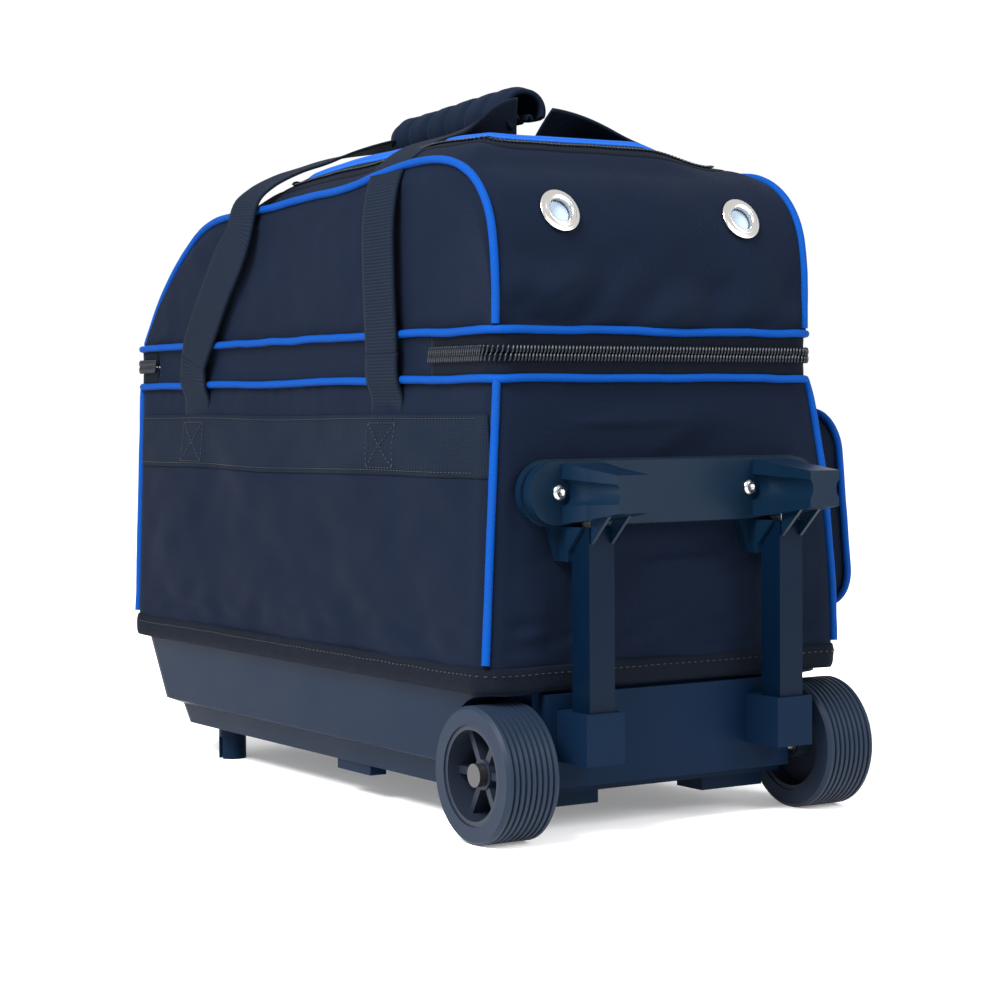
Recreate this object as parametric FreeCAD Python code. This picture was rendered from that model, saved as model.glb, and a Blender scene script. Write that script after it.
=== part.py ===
import FreeCAD, Part
import math
import os

# Two-ball bowling bag on wheels: a stiff base tray with two wheels at one end, a fabric body that
# holds two balls side by side, a hinged lid with a shoe compartment, two webbing carrying straps that
# meet in a quilted wrap, and a telescopic pull handle outside the wheel end.
#
# Design axes, in millimetres: X along the bag (wheels at -X), Y across it (the hinged back at +Y, the
# pocket at -Y), Z up from the floor. At the end every piece is moved by SHIFT, so that the origin is
# under the middle of the whole bag.

V = FreeCAD.Vector

# ---------------------------------------------------------------- driving dimensions
BODY_X = (-251.0, 251.0)       # fabric body at the lower piping
BODY_HALF_W = 120.0
HEM_X = (-259.0, 233.0)        # fabric body at its hem, where it is pulled over the tray
HEM_HALF_W = 135.0
CORNER_R = 18.0
HEM_Z = 88.0
PIPING_Z = 274.6               # lower piping ring
ZIP_Z = 289.5                  # the line on which the main zipper parts
LID_PIPING_Z = 303.0
FABRIC_T = 4.0                 # fabric with its foam backing

TRAY_T = 3.0
TRAY_RIM_Z = 98.0
TRAY_RIM_X = (-253.8, 228.4)
TRAY_RIM_HALF_W = 129.6
TRAY_STEP_Z = 42.0             # the tray steps in to its lower pan here
PAN_Z = 24.0                   # underside of the pan
BOARD_Z = 50.0                 # top of the axle space, where the stiff floor board lies

FOOT_XY = (155.0, 92.0)
BALL_X = (-132.0, 102.0)       # the two balls' centres

WHEEL_R = 41.1
WHEEL_W = 36.9
WHEEL_TRACK = 277.4            # over the outer faces of the two wheels
AXLE_X = -250.0
AXLE_R = 4.0
HUB_R = 30.0

TUBE_W = 18.0                  # outer handle tube, square
TUBE_X = -281.0
TUBE_Y = 71.6                  # the tubes stand at +-TUBE_Y
TUBE_Z = (50.0, 186.6)
TUBE_WALL = 1.2
TUBE_GAP = 0.3                 # sliding clearance on each side
STAGE_COUNT = 3
SOCKET_Z = (46.7, 77.3)
GRIP_Z = (187.6, 225.4)        # the moulded grip at rest
PLATE_X = (-262.5, -257.6)     # fixed plate behind the grip
SNOUT_X = -322.0

LID_HALF_W = 119.8
LID_SKIN = 3.5
POCKET_Y = -176.0
POCKET_X = (-222.0, 205.0)
POCKET_Z = (126.0, 252.0)
POCKET_R = 24.0
POCKET_ZIP_Y = POCKET_Y + 19   # the pocket's zipper runs along its top

STRAP_W = 38.0
STRAP_T = 2.4
STRAP_OFF = 5.6                # the legs hang this far off the body, clear of the piping rings
FOOT_TOP_Z = 281.5             # the sewn ends stop here, below the hinge line
LOOP_BOTTOM_Z = 299.0          # the free loops start here, above it
GRIP_RUN_X = (-122.0, 71.0)    # the straps' level run inside the wrap
GRIP_RUN_Z = 449.0
WRAP_X = (-91.0, 40.0)
LEG_X = ((148.0, 71.0, 57.0), (-128.0, -122.0, -108.0))   # each leg at the band, the lid's edge, the wrap

FLAP_X = (-195.0, 60.0)        # zipped flap in the lid's top
FLAP_HALF_W = 94.0
SLIDER_X = (-9.0, 9.0)         # the main zipper's two sliders, met at the front
TOP_SLIDER = (-20.0, -FLAP_HALF_W, 415.4)
POCKET_SLIDER_X = 120.0

PIPE_R = 2.5                   # piping cord
GAP = 0.35                     # between pieces that only lie on each other

SHIFT = V(-(SNOUT_X + BODY_X[1] + 2 * PIPE_R) / 2, -(POCKET_Y + WHEEL_TRACK / 2) / 2, 0)

os.makedirs("parts", exist_ok=True)


# ---------------------------------------------------------------- helpers
def save(name, shape):
    """Move a finished piece into the part's frame and write it."""
    placed = shape.copy()
    placed.translate(SHIFT)
    placed.exportStep("parts/" + name + ".step")


def box(x0, x1, y0, y1, z0, z1):
    return Part.makeBox(x1 - x0, y1 - y0, z1 - z0, V(x0, y0, z0))


def rod(r, p0, p1):
    run = p1 - p0
    return Part.makeCylinder(r, run.Length, p0, run)


def ring_y(r_out, r_in, x, z, y0, y1):
    """A ring round an axis along Y."""
    return rod(r_out, V(x, y0, z), V(x, y1, z)).cut(rod(r_in, V(x, y0 - 1, z), V(x, y1 + 1, z)))


def fuse_all(solids):
    return solids[0].multiFuse(solids[1:]).removeSplitter() if len(solids) > 1 else solids[0]


def round_loop(x0, x1, y0, y1, r, place):
    """A closed wire with round corners; place turns its two coordinates into a point."""
    corners = [(x1 - r, y1 - r, 0), (x0 + r, y1 - r, 90), (x0 + r, y0 + r, 180), (x1 - r, y0 + r, 270)]

    def on_arc(corner, turn):
        a = math.radians(corner[2] + turn)
        return place(corner[0] + r * math.cos(a), corner[1] + r * math.sin(a))

    edges = []
    for i, corner in enumerate(corners):
        start, middle, stop = (on_arc(corner, turn) for turn in (0, 45, 90))
        edges.append(Part.Arc(start, middle, stop).toShape())
        edges.append(Part.LineSegment(stop, on_arc(corners[(i + 1) % 4], 0)).toShape())
    return Part.Wire(edges)


def rounded_rect(z, x0, x1, half_w, r):
    """A closed level wire with round corners, even about the middle of the bag."""
    return round_loop(x0, x1, -half_w, half_w, r, lambda x, y: V(x, y, z))


def loft(wires):
    return Part.makeLoft(wires, True, True)


def body_section(z, grow=0.0):
    """The fabric body's outline at height z, wider towards the hem, straight above the piping."""
    t = min(1.0, (z - HEM_Z) / (PIPING_Z - HEM_Z))
    x0 = HEM_X[0] + t * (BODY_X[0] - HEM_X[0])
    x1 = HEM_X[1] + t * (BODY_X[1] - HEM_X[1])
    half = HEM_HALF_W + t * (BODY_HALF_W - HEM_HALF_W)
    return rounded_rect(z, x0 - grow, x1 + grow, half + grow, CORNER_R + grow)


def body_block(z0, z1, grow=0.0):
    stops = [z0] + [z for z in (PIPING_Z,) if z0 < z < z1] + [z1]
    return loft([body_section(z, grow) for z in stops])


def body_skin(z0, z1, inner, outer):
    """A band round the body, between two offsets from its surface."""
    return body_block(z0, z1, outer).cut(body_block(z0 - 1, z1 + 1, inner))


def side_y(z):
    """Where the body's long side stands at height z."""
    return HEM_HALF_W + min(1.0, (z - HEM_Z) / (PIPING_Z - HEM_Z)) * (BODY_HALF_W - HEM_HALF_W)


def tube_along(wire, r):
    start = wire.OrderedEdges[0]
    p = start.valueAt(start.FirstParameter)
    t = start.tangentAt(start.FirstParameter)
    hoop = Part.Wire(Part.Circle(p, t, r).toShape())
    return wire.makePipeShell([hoop], True, True, 2)


# ---------------------------------------------------------------- base
def tray_block(grow):
    """The tray's outer form, grown or shrunk all round and underneath."""
    side_rows = ((TRAY_RIM_Z, *TRAY_RIM_X, TRAY_RIM_HALF_W), (HEM_Z - 1, *TRAY_RIM_X, TRAY_RIM_HALF_W),
                 (TRAY_STEP_Z, TRAY_RIM_X[0], 218.0, 122.0), (TRAY_STEP_Z - 4, -248.0, 208.0, 113.0),
                 (PAN_Z, -246.0, 203.0, 110.0))
    wires = []
    for z, x0, x1, half in side_rows:
        at = z - grow if z == PAN_Z else z
        wires.append(rounded_rect(at, x0 - grow, x1 + grow, half + grow, CORNER_R + grow))
    return loft(wires)


def arch(sign, grow):
    """The space round one wheel."""
    inner = WHEEL_TRACK / 2 - WHEEL_W - 4.5 - grow
    r = WHEEL_R + 4.5 + grow
    a = V(AXLE_X, sign * inner, WHEEL_R)
    well = rod(r, a, V(AXLE_X, sign * 170, WHEEL_R))
    below = box(AXLE_X - r, AXLE_X + r, *sorted((sign * inner, sign * 170)), PAN_Z - 20, WHEEL_R)
    return well.fuse(below)


def base_tray():
    outer = tray_block(0)
    rim_levels = (TRAY_RIM_Z - 1, TRAY_RIM_Z + 2)
    mouth = [rounded_rect(z, *TRAY_RIM_X, TRAY_RIM_HALF_W, CORNER_R) for z in rim_levels]
    inner = tray_block(-TRAY_T).fuse(loft([w.makeOffset2D(-TRAY_T) for w in mouth]))
    for sign in (1, -1):
        outer = outer.cut(arch(sign, 0))
        inner = inner.cut(arch(sign, TRAY_T))
    tray = outer.cut(inner)
    housing = box(-262, -236, -92, 92, 30, 46.2)
    end_wall = box(-262, -252, -92, 92, 30, HEM_Z - 1.5)
    tray = tray.fuse(housing).fuse(end_wall)
    bore = rod(AXLE_R + 0.05, V(AXLE_X, -150, WHEEL_R), V(AXLE_X, 150, WHEEL_R))
    return tray.cut(bore).removeSplitter()


def base_board():
    board = loft([rounded_rect(z, -249, 214, 119.6, 18) for z in (BOARD_Z, BOARD_Z + 3)])
    for sign in (1, -1):
        board = board.cut(arch(sign, TRAY_T + 0.6))
    return board


def far_feet():
    """Two round feet that keep the far end level with the wheels, each with a groove on its outer side."""
    feet = []
    for sign in (1, -1):
        x, y = FOOT_XY[0], sign * FOOT_XY[1]
        foot = rod(10, V(x, y, 0), V(x, y, PAN_Z - GAP))
        feet.append(foot.cut(box(x - 3, x + 3, *sorted((y + sign * 7, y + sign * 12)), -1, 16)))
    return Part.makeCompound(feet)


def skids():
    """Hard wear blocks under the pan: two at the wheel end and one on each side at the middle."""
    blocks = []
    for sign in (1, -1):
        y0, y1 = sorted((sign * 40, sign * 88))
        blocks.append(box(-240, -214, y0, y1, 15, PAN_Z - GAP))
        y0, y1 = sorted((sign * 96, sign * 108))
        blocks.append(box(-78, -34, y0, y1, 17, PAN_Z - GAP))
    return Part.makeCompound(blocks)




def ball_cup(x):
    """A foam ring that the ball sits in."""
    z0, z1 = BOARD_Z + 3 + GAP, BOARD_Z + 15
    ring = Part.makeCylinder(92, z1 - z0, V(x, 0, z0))
    return ring.cut(Part.makeCylinder(45, 30, V(x, 0, z0 - 5)))


def ball_divider():
    x = sum(BALL_X) / 2
    return box(x - 4, x + 4, -112, 112, BOARD_Z + 3 + GAP, 240)


# ---------------------------------------------------------------- wheels
def tyre(sign):
    """Hard rubber tread with grooves round it."""
    y0 = WHEEL_TRACK / 2 - WHEEL_W
    groove_count = 8
    pitch = (WHEEL_W - 6) / groove_count
    profile = [(HUB_R, 0), (WHEEL_R - 2, 0), (WHEEL_R, 2)]
    for i in range(groove_count):
        start = 3 + (i + 0.3) * pitch
        profile += [(WHEEL_R, start), (WHEEL_R - 1.4, start + 0.5), (WHEEL_R - 1.4, start + 1.3),
                    (WHEEL_R, start + 1.8)]
    profile += [(WHEEL_R, WHEEL_W - 2), (WHEEL_R - 2, WHEEL_W), (HUB_R, WHEEL_W)]
    points = [V(AXLE_X + r, sign * (y0 + y), WHEEL_R) for r, y in profile]
    face = Part.Face(Part.makePolygon(points + points[:1]))
    return face.revolve(V(AXLE_X, 0, WHEEL_R), V(0, 1, 0), 360)


def hub(sign):
    """Dished wheel centre: rim, web, six ribs and a boss that runs on the axle."""
    y_in = WHEEL_TRACK / 2 - WHEEL_W
    y_out = WHEEL_TRACK / 2

    def at(y):
        return sign * y

    rim = ring_y(HUB_R - GAP / 4, HUB_R - 3, AXLE_X, WHEEL_R, *sorted((at(y_in + 1), at(y_out - 1))))
    web = ring_y(HUB_R - 2, 6, AXLE_X, WHEEL_R, *sorted((at(y_in + 13), at(y_in + 16))))
    boss = ring_y(9, 4.5, AXLE_X, WHEEL_R, *sorted((at(y_in + 1), at(y_out - 8))))
    pieces = [rim, web, boss]
    rib_count = 6
    for i in range(rib_count):
        rib = box(AXLE_X + 7, AXLE_X + HUB_R - 2, *sorted((at(y_in + 15), at(y_out - 9))),
                  WHEEL_R - 2.2, WHEEL_R + 2.2)
        rib.rotate(V(AXLE_X, 0, WHEEL_R), V(0, 1, 0), 360 * i / rib_count)
        pieces.append(rib)
    bore = rod(AXLE_R + 0.06, V(AXLE_X, -150, WHEEL_R), V(AXLE_X, 150, WHEEL_R))
    return fuse_all(pieces).cut(bore)


def axle():
    half = WHEEL_TRACK / 2 - 4
    return rod(AXLE_R, V(AXLE_X, -half, WHEEL_R), V(AXLE_X, half, WHEEL_R))


def axle_washers():
    y = WHEEL_TRACK / 2 - WHEEL_W - 1.5
    return Part.makeCompound([ring_y(9, AXLE_R + 0.05, AXLE_X, WHEEL_R, *sorted((s * y, s * (y + 1.6))))
                              for s in (1, -1)])


def push_nuts():
    """Pressed caps that keep the wheels on."""
    y = WHEEL_TRACK / 2 - 7.4
    nuts = []
    for s in (1, -1):
        cap = rod(7, V(AXLE_X, s * y, WHEEL_R), V(AXLE_X, s * (y + 5), WHEEL_R))
        ends = [V(AXLE_X, s * (y + d), WHEEL_R) for d in (-1, 3.45)]
        nuts.append(cap.cut(rod(AXLE_R + 0.02, *ends)))
    return Part.makeCompound(nuts)


# ---------------------------------------------------------------- pull handle
def square_tube(width, wall, y, z0, z1):
    h = width / 2
    outer = box(TUBE_X - h, TUBE_X + h, y - h, y + h, z0, z1)
    h -= wall
    return outer.cut(box(TUBE_X - h, TUBE_X + h, y - h, y + h, z0 - 1, z1 + 1))


def stage_width(i):
    """Outer width of stage i; stage 0 is the fixed tube."""
    return TUBE_W - 2 * i * (TUBE_WALL + TUBE_GAP)


def stage_pair(i, top):
    return Part.makeCompound([square_tube(stage_width(i), TUBE_WALL, s * TUBE_Y, TUBE_Z[0] + 2, top)
                              for s in (1, -1)])


def handle_socket(sign):
    """Moulded shoe on the tray's end that the outer tube stands in."""
    y = sign * TUBE_Y
    h = TUBE_W / 2 + GAP
    shoe = box(-293.5, -262 - GAP, y - 13.7, y + 13.7, *SOCKET_Z)
    return shoe.cut(box(TUBE_X - h, TUBE_X + h, y - h, y + h, TUBE_Z[0] - GAP, 90))


def stadium(x0, x1, half_w, z0, z1):
    r = (z1 - z0) / 2
    z = (z0 + z1) / 2
    middle = box(x0, x1, -(half_w - r), half_w - r, z0, z1)
    ends = [rod(r, V(x0, s * (half_w - r), z), V(x1, s * (half_w - r), z)) for s in (1, -1)]
    return fuse_all([middle] + ends)


FASTENER_Y = [s * (TUBE_Y + d) for s in (1, -1) for d in (17.6, -17.6)]
FASTENER_Z = 207.0


def handle_bracket():
    """Plate on the bag's end, with a saddle and two cheeks for the top of each outer tube."""
    plate = stadium(*PLATE_X, 111, 186.6, 226.4)
    h = TUBE_W / 2 + GAP
    pieces = [plate]
    for s in (1, -1):
        y = s * TUBE_Y
        outline = [V(PLATE_X[0], y + dy, z) for dy, z in ((-20, 190), (20, 190), (12, 166), (-12, 166))]
        tongue = Part.Face(Part.makePolygon(outline + outline[:1])).extrude(V(PLATE_X[1] - PLATE_X[0], 0, 0))
        pieces += [tongue, box(TUBE_X + h, PLATE_X[1], y - 11.7, y + 11.7, 166, 186.8)]
        cheek = [V(x, 0, z) for x, z in ((PLATE_X[1], 166), (-266, 166), (-286, 186.8), (PLATE_X[1], 186.8))]
        cheek = Part.Face(Part.makePolygon(cheek + cheek[:1])).extrude(V(0, 2.4, 0))
        for y0 in (y + h, y - h - 2.4):
            placed = cheek.copy()
            placed.translate(V(0, y0, 0))
            pieces.append(placed)
    bracket = fuse_all(pieces)
    for y in FASTENER_Y:
        bracket = bracket.cut(rod(2.6, V(-270, y, FASTENER_Z), V(-250, y, FASTENER_Z)))
    return bracket


def bracket_rivets():
    """Rivets through the plate and the bag's end panel, hidden behind the grip."""
    rivets = []
    for y in FASTENER_Y:
        shank = rod(2.5, V(PLATE_X[0] + 0.1, y, FASTENER_Z), V(PLATE_X[1] - 0.1, y, FASTENER_Z))
        rivets.append(shank)
    return Part.makeCompound(rivets)


def snout(sign):
    """Blunt tapered horn over each tube, with a round clearance beside each screw."""
    y = sign * TUBE_Y

    def rect(x, half, z0, z1):
        pts = [V(x, y - half, z0), V(x, y + half, z0), V(x, y + half, z1), V(x, y - half, z1)]
        return Part.makePolygon(pts + pts[:1])

    horn = loft([rect(-270.9, 15, GRIP_Z[0] + 0.8, GRIP_Z[1] - 0.8), rect(-292, 12.6, 191, 221.5),
                 rect(SNOUT_X, 11.3, 196, 218)])
    for d in (17.6, -17.6):
        horn = horn.cut(rod(8.5, V(-400, y + d, FASTENER_Z), V(-271, y + d, FASTENER_Z)))
    ribs = []
    for d in (-8.2, 6.2):
        pts = [V(-290.8, y + d, 177), V(-290.8, y + d, 192), V(-311, y + d, 196)]
        ribs.append(Part.Face(Part.makePolygon(pts + pts[:1])).extrude(V(0, 2, 0)))
    return fuse_all([horn] + ribs)


def grip_front():
    """Front half of the grip: a flat bar with round ends and two horns."""
    bar = stadium(-271, -266, 109.0, *GRIP_Z)
    grip = fuse_all([bar, snout(1), snout(-1)])
    h = stage_width(STAGE_COUNT) / 2 + 0.05
    for s in (1, -1):
        y = s * TUBE_Y
        grip = grip.cut(box(TUBE_X - h, TUBE_X + h, y - h, y + h, 180, 214))
    for y in FASTENER_Y:
        grip = grip.cut(rod(2.3, V(-280, y, FASTENER_Z), V(-260, y, FASTENER_Z)))
    return grip


def grip_rear():
    rear = stadium(-265.8, -263.2, 109.0, *GRIP_Z)
    for y in FASTENER_Y:
        rear = rear.cut(rod(2.3, V(-280, y, FASTENER_Z), V(-260, y, FASTENER_Z)))
    return rear


def grip_screws():
    screws = []
    for y in FASTENER_Y:
        head = rod(4.2, V(-273.4, y, FASTENER_Z), V(-271.1, y, FASTENER_Z))
        screws.append(head.fuse(rod(2.2, V(-271.2, y, FASTENER_Z), V(-263.4, y, FASTENER_Z))))
    return Part.makeCompound(screws)


# ---------------------------------------------------------------- fabric body
def body_shell():
    outer = body_block(HEM_Z, ZIP_Z - 2)
    return outer.cut(body_block(HEM_Z - 1, ZIP_Z, -FABRIC_T))


def hem_binding():
    return body_skin(HEM_Z, HEM_Z + 15, GAP / 2, 1.6)


def piping_ring(z):
    return tube_along(body_section(z, PIPE_R + 0.1), PIPE_R)


def corner_pipings():
    """Cords up the four corners of the body, from just above the hem to the piping ring."""
    cords = []
    low, high = 106.0, PIPING_Z - 2 * PIPE_R
    diag = (CORNER_R + PIPE_R + 0.2) * math.sqrt(0.5) - CORNER_R
    for side in (0, 1):
        for sy in (1, -1):
            ends = []
            for z in (low, high):
                t = (z - HEM_Z) / (PIPING_Z - HEM_Z)
                x = HEM_X[side] + t * (BODY_X[side] - HEM_X[side])
                out = 1 if side else -1
                ends.append(V(x + out * diag, sy * (side_y(z) + diag), z))
            cords.append(rod(PIPE_R, *ends))
    return Part.makeCompound(cords)


def back_band():
    """Wide webbing sewn along the back, over which the strap's legs are anchored."""
    band = body_skin(214, 253, GAP / 2, 1.8)
    return band.common(box(-226, 226, 100, 160, 200, 260))


def strap_feet(sign):
    """The straps' ends, sewn on the side of the bag; they step out over the piping ring."""
    low = 222.0 if sign > 0 else 256.0
    near = 2.1
    webbing = body_skin(low, 266, near, near + STRAP_T)
    webbing = webbing.fuse(body_skin(264, 268, near, STRAP_OFF + STRAP_T))
    webbing = webbing.fuse(body_skin(266, FOOT_TOP_Z, STRAP_OFF, STRAP_OFF + STRAP_T))
    feet = []
    for x, _, _ in LEG_X:
        y0, y1 = sorted((sign * 100, sign * 160))
        feet.append(webbing.common(box(x - STRAP_W / 2, x + STRAP_W / 2, y0, y1, low, FOOT_TOP_Z)))
    return Part.makeCompound([f.removeSplitter() for f in feet])


def zip_band(z0, z1):
    """Fabric and zipper tape between the two pipings."""
    return body_skin(z0, z1, GAP / 2, 1.6)


def zip_coil(z0, z1):
    """Half of the zipper's coil, round the wheel end, the front and the far end."""
    coil = body_skin(z0, z1, 1.8, 3.8)
    return coil.cut(box(-184, 222, 60, 160, z0 - 5, z1 + 5))


# ---------------------------------------------------------------- front pocket
def pocket_box(inset):
    block = box(POCKET_X[0] + inset, POCKET_X[1] - inset, POCKET_Y + inset, -100,
                POCKET_Z[0] + inset, POCKET_Z[1] - inset)
    rounded = [e for e in block.Edges if e.BoundBox.YLength > 1]
    return block.makeFillet(POCKET_R - inset, rounded)


def front_pocket():
    wall = 2.4
    shell = pocket_box(0).cut(pocket_box(wall))
    shell = shell.cut(body_block(HEM_Z, ZIP_Z, GAP))
    slit = box(-150, 150, POCKET_ZIP_Y - 4, POCKET_ZIP_Y + 4, POCKET_Z[1] - 8, POCKET_Z[1] + 5)
    return shell.cut(slit)


def pocket_piping():
    """Cord round the outer edge of the pocket."""
    out = PIPE_R + 0.1
    y = POCKET_Y + PIPE_R
    loop = round_loop(POCKET_X[0] - out, POCKET_X[1] + out, POCKET_Z[0] - out, POCKET_Z[1] + out, POCKET_R + out,
                      lambda x, z: V(x, y, z))
    return tube_along(loop, PIPE_R)


def pocket_zip():
    y = POCKET_ZIP_Y
    tape = box(-156, 156, y - 11, y + 11, POCKET_Z[1] + GAP / 2, POCKET_Z[1] + 1.2)
    coil = box(-152, 152, y - 2.5, y + 2.5, POCKET_Z[1] + 1.2, POCKET_Z[1] + 3.0)
    return tape.fuse(coil)


# ---------------------------------------------------------------- zipper sliders
def slider_on_front(x):
    """Slider of the main zipper, running on the coil at the front."""
    y = -(BODY_HALF_W + 4.3)
    body = box(x - 7, x + 7, y - 3.4, y, ZIP_Z - 6, ZIP_Z + 6)
    eye = box(x - 3, x + 3, y - 7.4, y - 3.4, ZIP_Z - 3, ZIP_Z + 3)
    return body.fuse(eye).cut(rod(1.3, V(x - 5, y - 5.4, ZIP_Z), V(x + 5, y - 5.4, ZIP_Z)))


def pull_on_front(x):
    """Pull tab that hangs from the slider's eye."""
    y = -(BODY_HALF_W + 4.3) - 5.4
    pin = rod(1.2, V(x - 4.6, y, ZIP_Z), V(x + 4.6, y, ZIP_Z))
    cheeks = []
    for s in (1, -1):
        x0, x1 = sorted((x + s * 3.4, x + s * 5.0))
        cheeks.append(box(x0, x1, y - 1.2, y + 1.2, ZIP_Z - 9, ZIP_Z + 1.2))
    tab = box(x - 5, x + 5, y - 1.2, y + 1.2, ZIP_Z - 34, ZIP_Z - 8)
    return fuse_all([pin, tab] + cheeks)


def flat_slider(x, y, z):
    """Slider of a level zipper; its coil runs along X under it."""
    body = box(x - 6, x + 6, y - 5, y + 5, z, z + 3)
    eye = box(x - 2.5, x + 2.5, y - 2, y + 2, z + 3, z + 6.4)
    return body.fuse(eye).cut(rod(1.2, V(x, y - 4, z + 4.7), V(x, y + 4, z + 4.7)))


def flat_pull(x, y, z):
    """Tab of a level zipper, lying back along X over the coil."""
    zc = z + 4.7
    pin = rod(1.1, V(x, y - 3.6, zc), V(x, y + 3.6, zc))
    cheeks = [box(x - 1.1, x + 9, *sorted((y + s * 2.4, y + s * 3.8)), zc - 1.1, zc + 1.1) for s in (1, -1)]
    tab = box(x + 8, x + 30, y - 4, y + 4, zc - 1.1, zc + 1.1)
    return fuse_all([pin, tab] + cheeks)


# ---------------------------------------------------------------- lid
LID_X = (-250.8, 250.8)
LID_LINE = [(-246, 370), (-233, 390), (-213, 405), (-180, 412), (-90, 413), (0, 411), (85, 402),
            (150, 386), (203, 352), (232, 322)]
LID_BOTTOM_Z = ZIP_Z + 1.2


def lid_curve(grow):
    """The line over the lid's top, from one upright end to the other, moved out by grow."""
    points = [V(LID_X[0], 0, 344)] + [V(x, 0, z) for x, z in LID_LINE] + [V(LID_X[1], 0, 300)]
    curve = Part.BSplineCurve()
    curve.interpolate(points)
    if not grow:
        return curve
    count = 28
    span = curve.LastParameter - curve.FirstParameter
    moved = [V(LID_X[0] - grow, 0, 344)]
    for i in range(1, count):
        u = curve.FirstParameter + span * i / count
        along = curve.tangent(u)[0]
        moved.append(curve.value(u) + V(-along.z, 0, along.x) * grow)
    moved.append(V(LID_X[1] + grow, 0, 300))
    offset = Part.BSplineCurve()
    offset.interpolate(moved)
    return offset


def lid_block(grow, round_edges=True):
    """The lid's side outline carried across the bag, with round long edges."""
    x0, x1 = LID_X[0] - grow, LID_X[1] + grow
    feet = V(x0, 0, LID_BOTTOM_Z), V(x1, 0, LID_BOTTOM_Z)
    curve = lid_curve(grow).toShape()
    edges = [Part.LineSegment(feet[0], V(x0, 0, 344)).toShape(), curve,
             Part.LineSegment(V(x1, 0, 300), feet[1]).toShape(), Part.LineSegment(feet[1], feet[0]).toShape()]
    half = LID_HALF_W + grow
    block = Part.Face(Part.Wire(edges)).extrude(V(0, 2 * half, 0))
    block.translate(V(0, -half, 0))
    if not round_edges:
        return block
    long_edges = [e for e in block.Edges if e.BoundBox.YLength < 0.1 and e.BoundBox.ZMax > LID_BOTTOM_Z + 5]
    return block.makeFillet(CORNER_R + grow, long_edges)


def top_frame(out, inn):
    """An upright frame over the top flap's edge, from one offset of its outline to another."""
    frame = box(FLAP_X[0] - out, FLAP_X[1] + out, -FLAP_HALF_W - out, FLAP_HALF_W + out, 370, 430)
    return frame.cut(box(FLAP_X[0] - inn, FLAP_X[1] + inn, -FLAP_HALF_W - inn, FLAP_HALF_W + inn, 360, 440))


def lid_skin():
    """The lid's wall: open underneath, where the floor closes it."""
    mouth = rounded_rect(LID_BOTTOM_Z - 5, LID_X[0] + LID_SKIN, LID_X[1] - LID_SKIN, LID_HALF_W - LID_SKIN,
                         CORNER_R - LID_SKIN)
    mouth = Part.Face(mouth).extrude(V(0, 0, 10))
    return lid_block(0).cut(lid_block(-LID_SKIN)).cut(mouth)


def over_flap(grow):
    return box(FLAP_X[0] - grow, FLAP_X[1] + grow, -FLAP_HALF_W - grow, FLAP_HALF_W + grow, 370, 430)


def lid_shell(skin):
    shell = skin.cut(over_flap(GAP))
    for s in (1, -1):
        shell = shell.cut(grommet_bore(s, GROMMET_R + GAP / 2))
    return shell


def lid_floor():
    """Stiffened panel between the ball space and the shoe compartment."""
    inset = LID_SKIN + GAP
    outline = rounded_rect(LID_BOTTOM_Z, LID_X[0] + inset, LID_X[1] - inset, LID_HALF_W - inset,
                           CORNER_R - inset)
    return Part.Face(outline).extrude(V(0, 0, 3))


def on_lid(out, inn):
    """A thin frame laid on the lid round the top flap."""
    layer = lid_block(1.4, False).cut(lid_block(GAP / 2, False))
    return layer.common(top_frame(out, inn))


GROMMET_Y = 69.0
GROMMET_R = 8.6
GROMMET_FLANGE_R = 14.0
GROMMET_AT = (-244.2, 374.0)   # X and Z on the lid's rounded end
GROMMET_TILT = 34.0


def grommet_axis():
    a = math.radians(GROMMET_TILT)
    return V(-math.cos(a), 0, math.sin(a))


def grommet_bore(sign, r):
    centre = V(GROMMET_AT[0], sign * GROMMET_Y, GROMMET_AT[1])
    n = grommet_axis()
    return rod(r, centre - n * 12, centre + n * 12)


def lid_grommets():
    """Two plated eyelets that let the shoe compartment breathe."""
    n = grommet_axis()
    rings = []
    for s in (1, -1):
        centre = V(GROMMET_AT[0], s * GROMMET_Y, GROMMET_AT[1])
        barrel = rod(GROMMET_R, centre - n * 4.5, centre + n * 3.6)
        flange = rod(GROMMET_FLANGE_R, centre + n * 2.2, centre + n * 3.6)
        rings.append(barrel.fuse(flange).cut(rod(GROMMET_R - 0.9, centre - n * 20, centre + n * 20)))
    return Part.makeCompound(rings)


def lid_side_piping(sign):
    """Cord along the lid's long edge, where its side panel meets the end and the top."""
    inward = CORNER_R - (CORNER_R + PIPE_R + 0.3) * math.sqrt(0.5)
    curve = lid_curve(-inward)
    first, last = curve.FirstParameter, curve.LastParameter
    floor = LID_PIPING_Z + PIPE_R + 0.9
    count = 24
    run = [curve.value(first + (last - first) * i / count) for i in range(count)]
    points = [V(curve.value(first).x, 0, floor)] + [p for p in run if p.z > floor + 6]
    points.append(V(curve.value(last).x, 0, floor))
    line = Part.BSplineCurve()
    line.interpolate(points)
    cord = tube_along(Part.Wire(line.toShape()), PIPE_R)
    cord.translate(V(0, sign * (LID_HALF_W - inward), 0))
    return cord


# ---------------------------------------------------------------- straps and wrap
def leg_section(x, half, y, z, lean, sign):
    """The webbing's cross-section at one point of a leg; lean turns it over the lid's edge."""
    a = math.radians(lean)
    out = V(0, sign * math.cos(a), math.sin(a)) * (STRAP_T / 2)
    c = V(x, sign * y, z)
    side = V(half, 0, 0)
    points = [c - side - out, c + side - out, c + side + out, c - side + out]
    return Part.makePolygon(points + points[:1])


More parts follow.
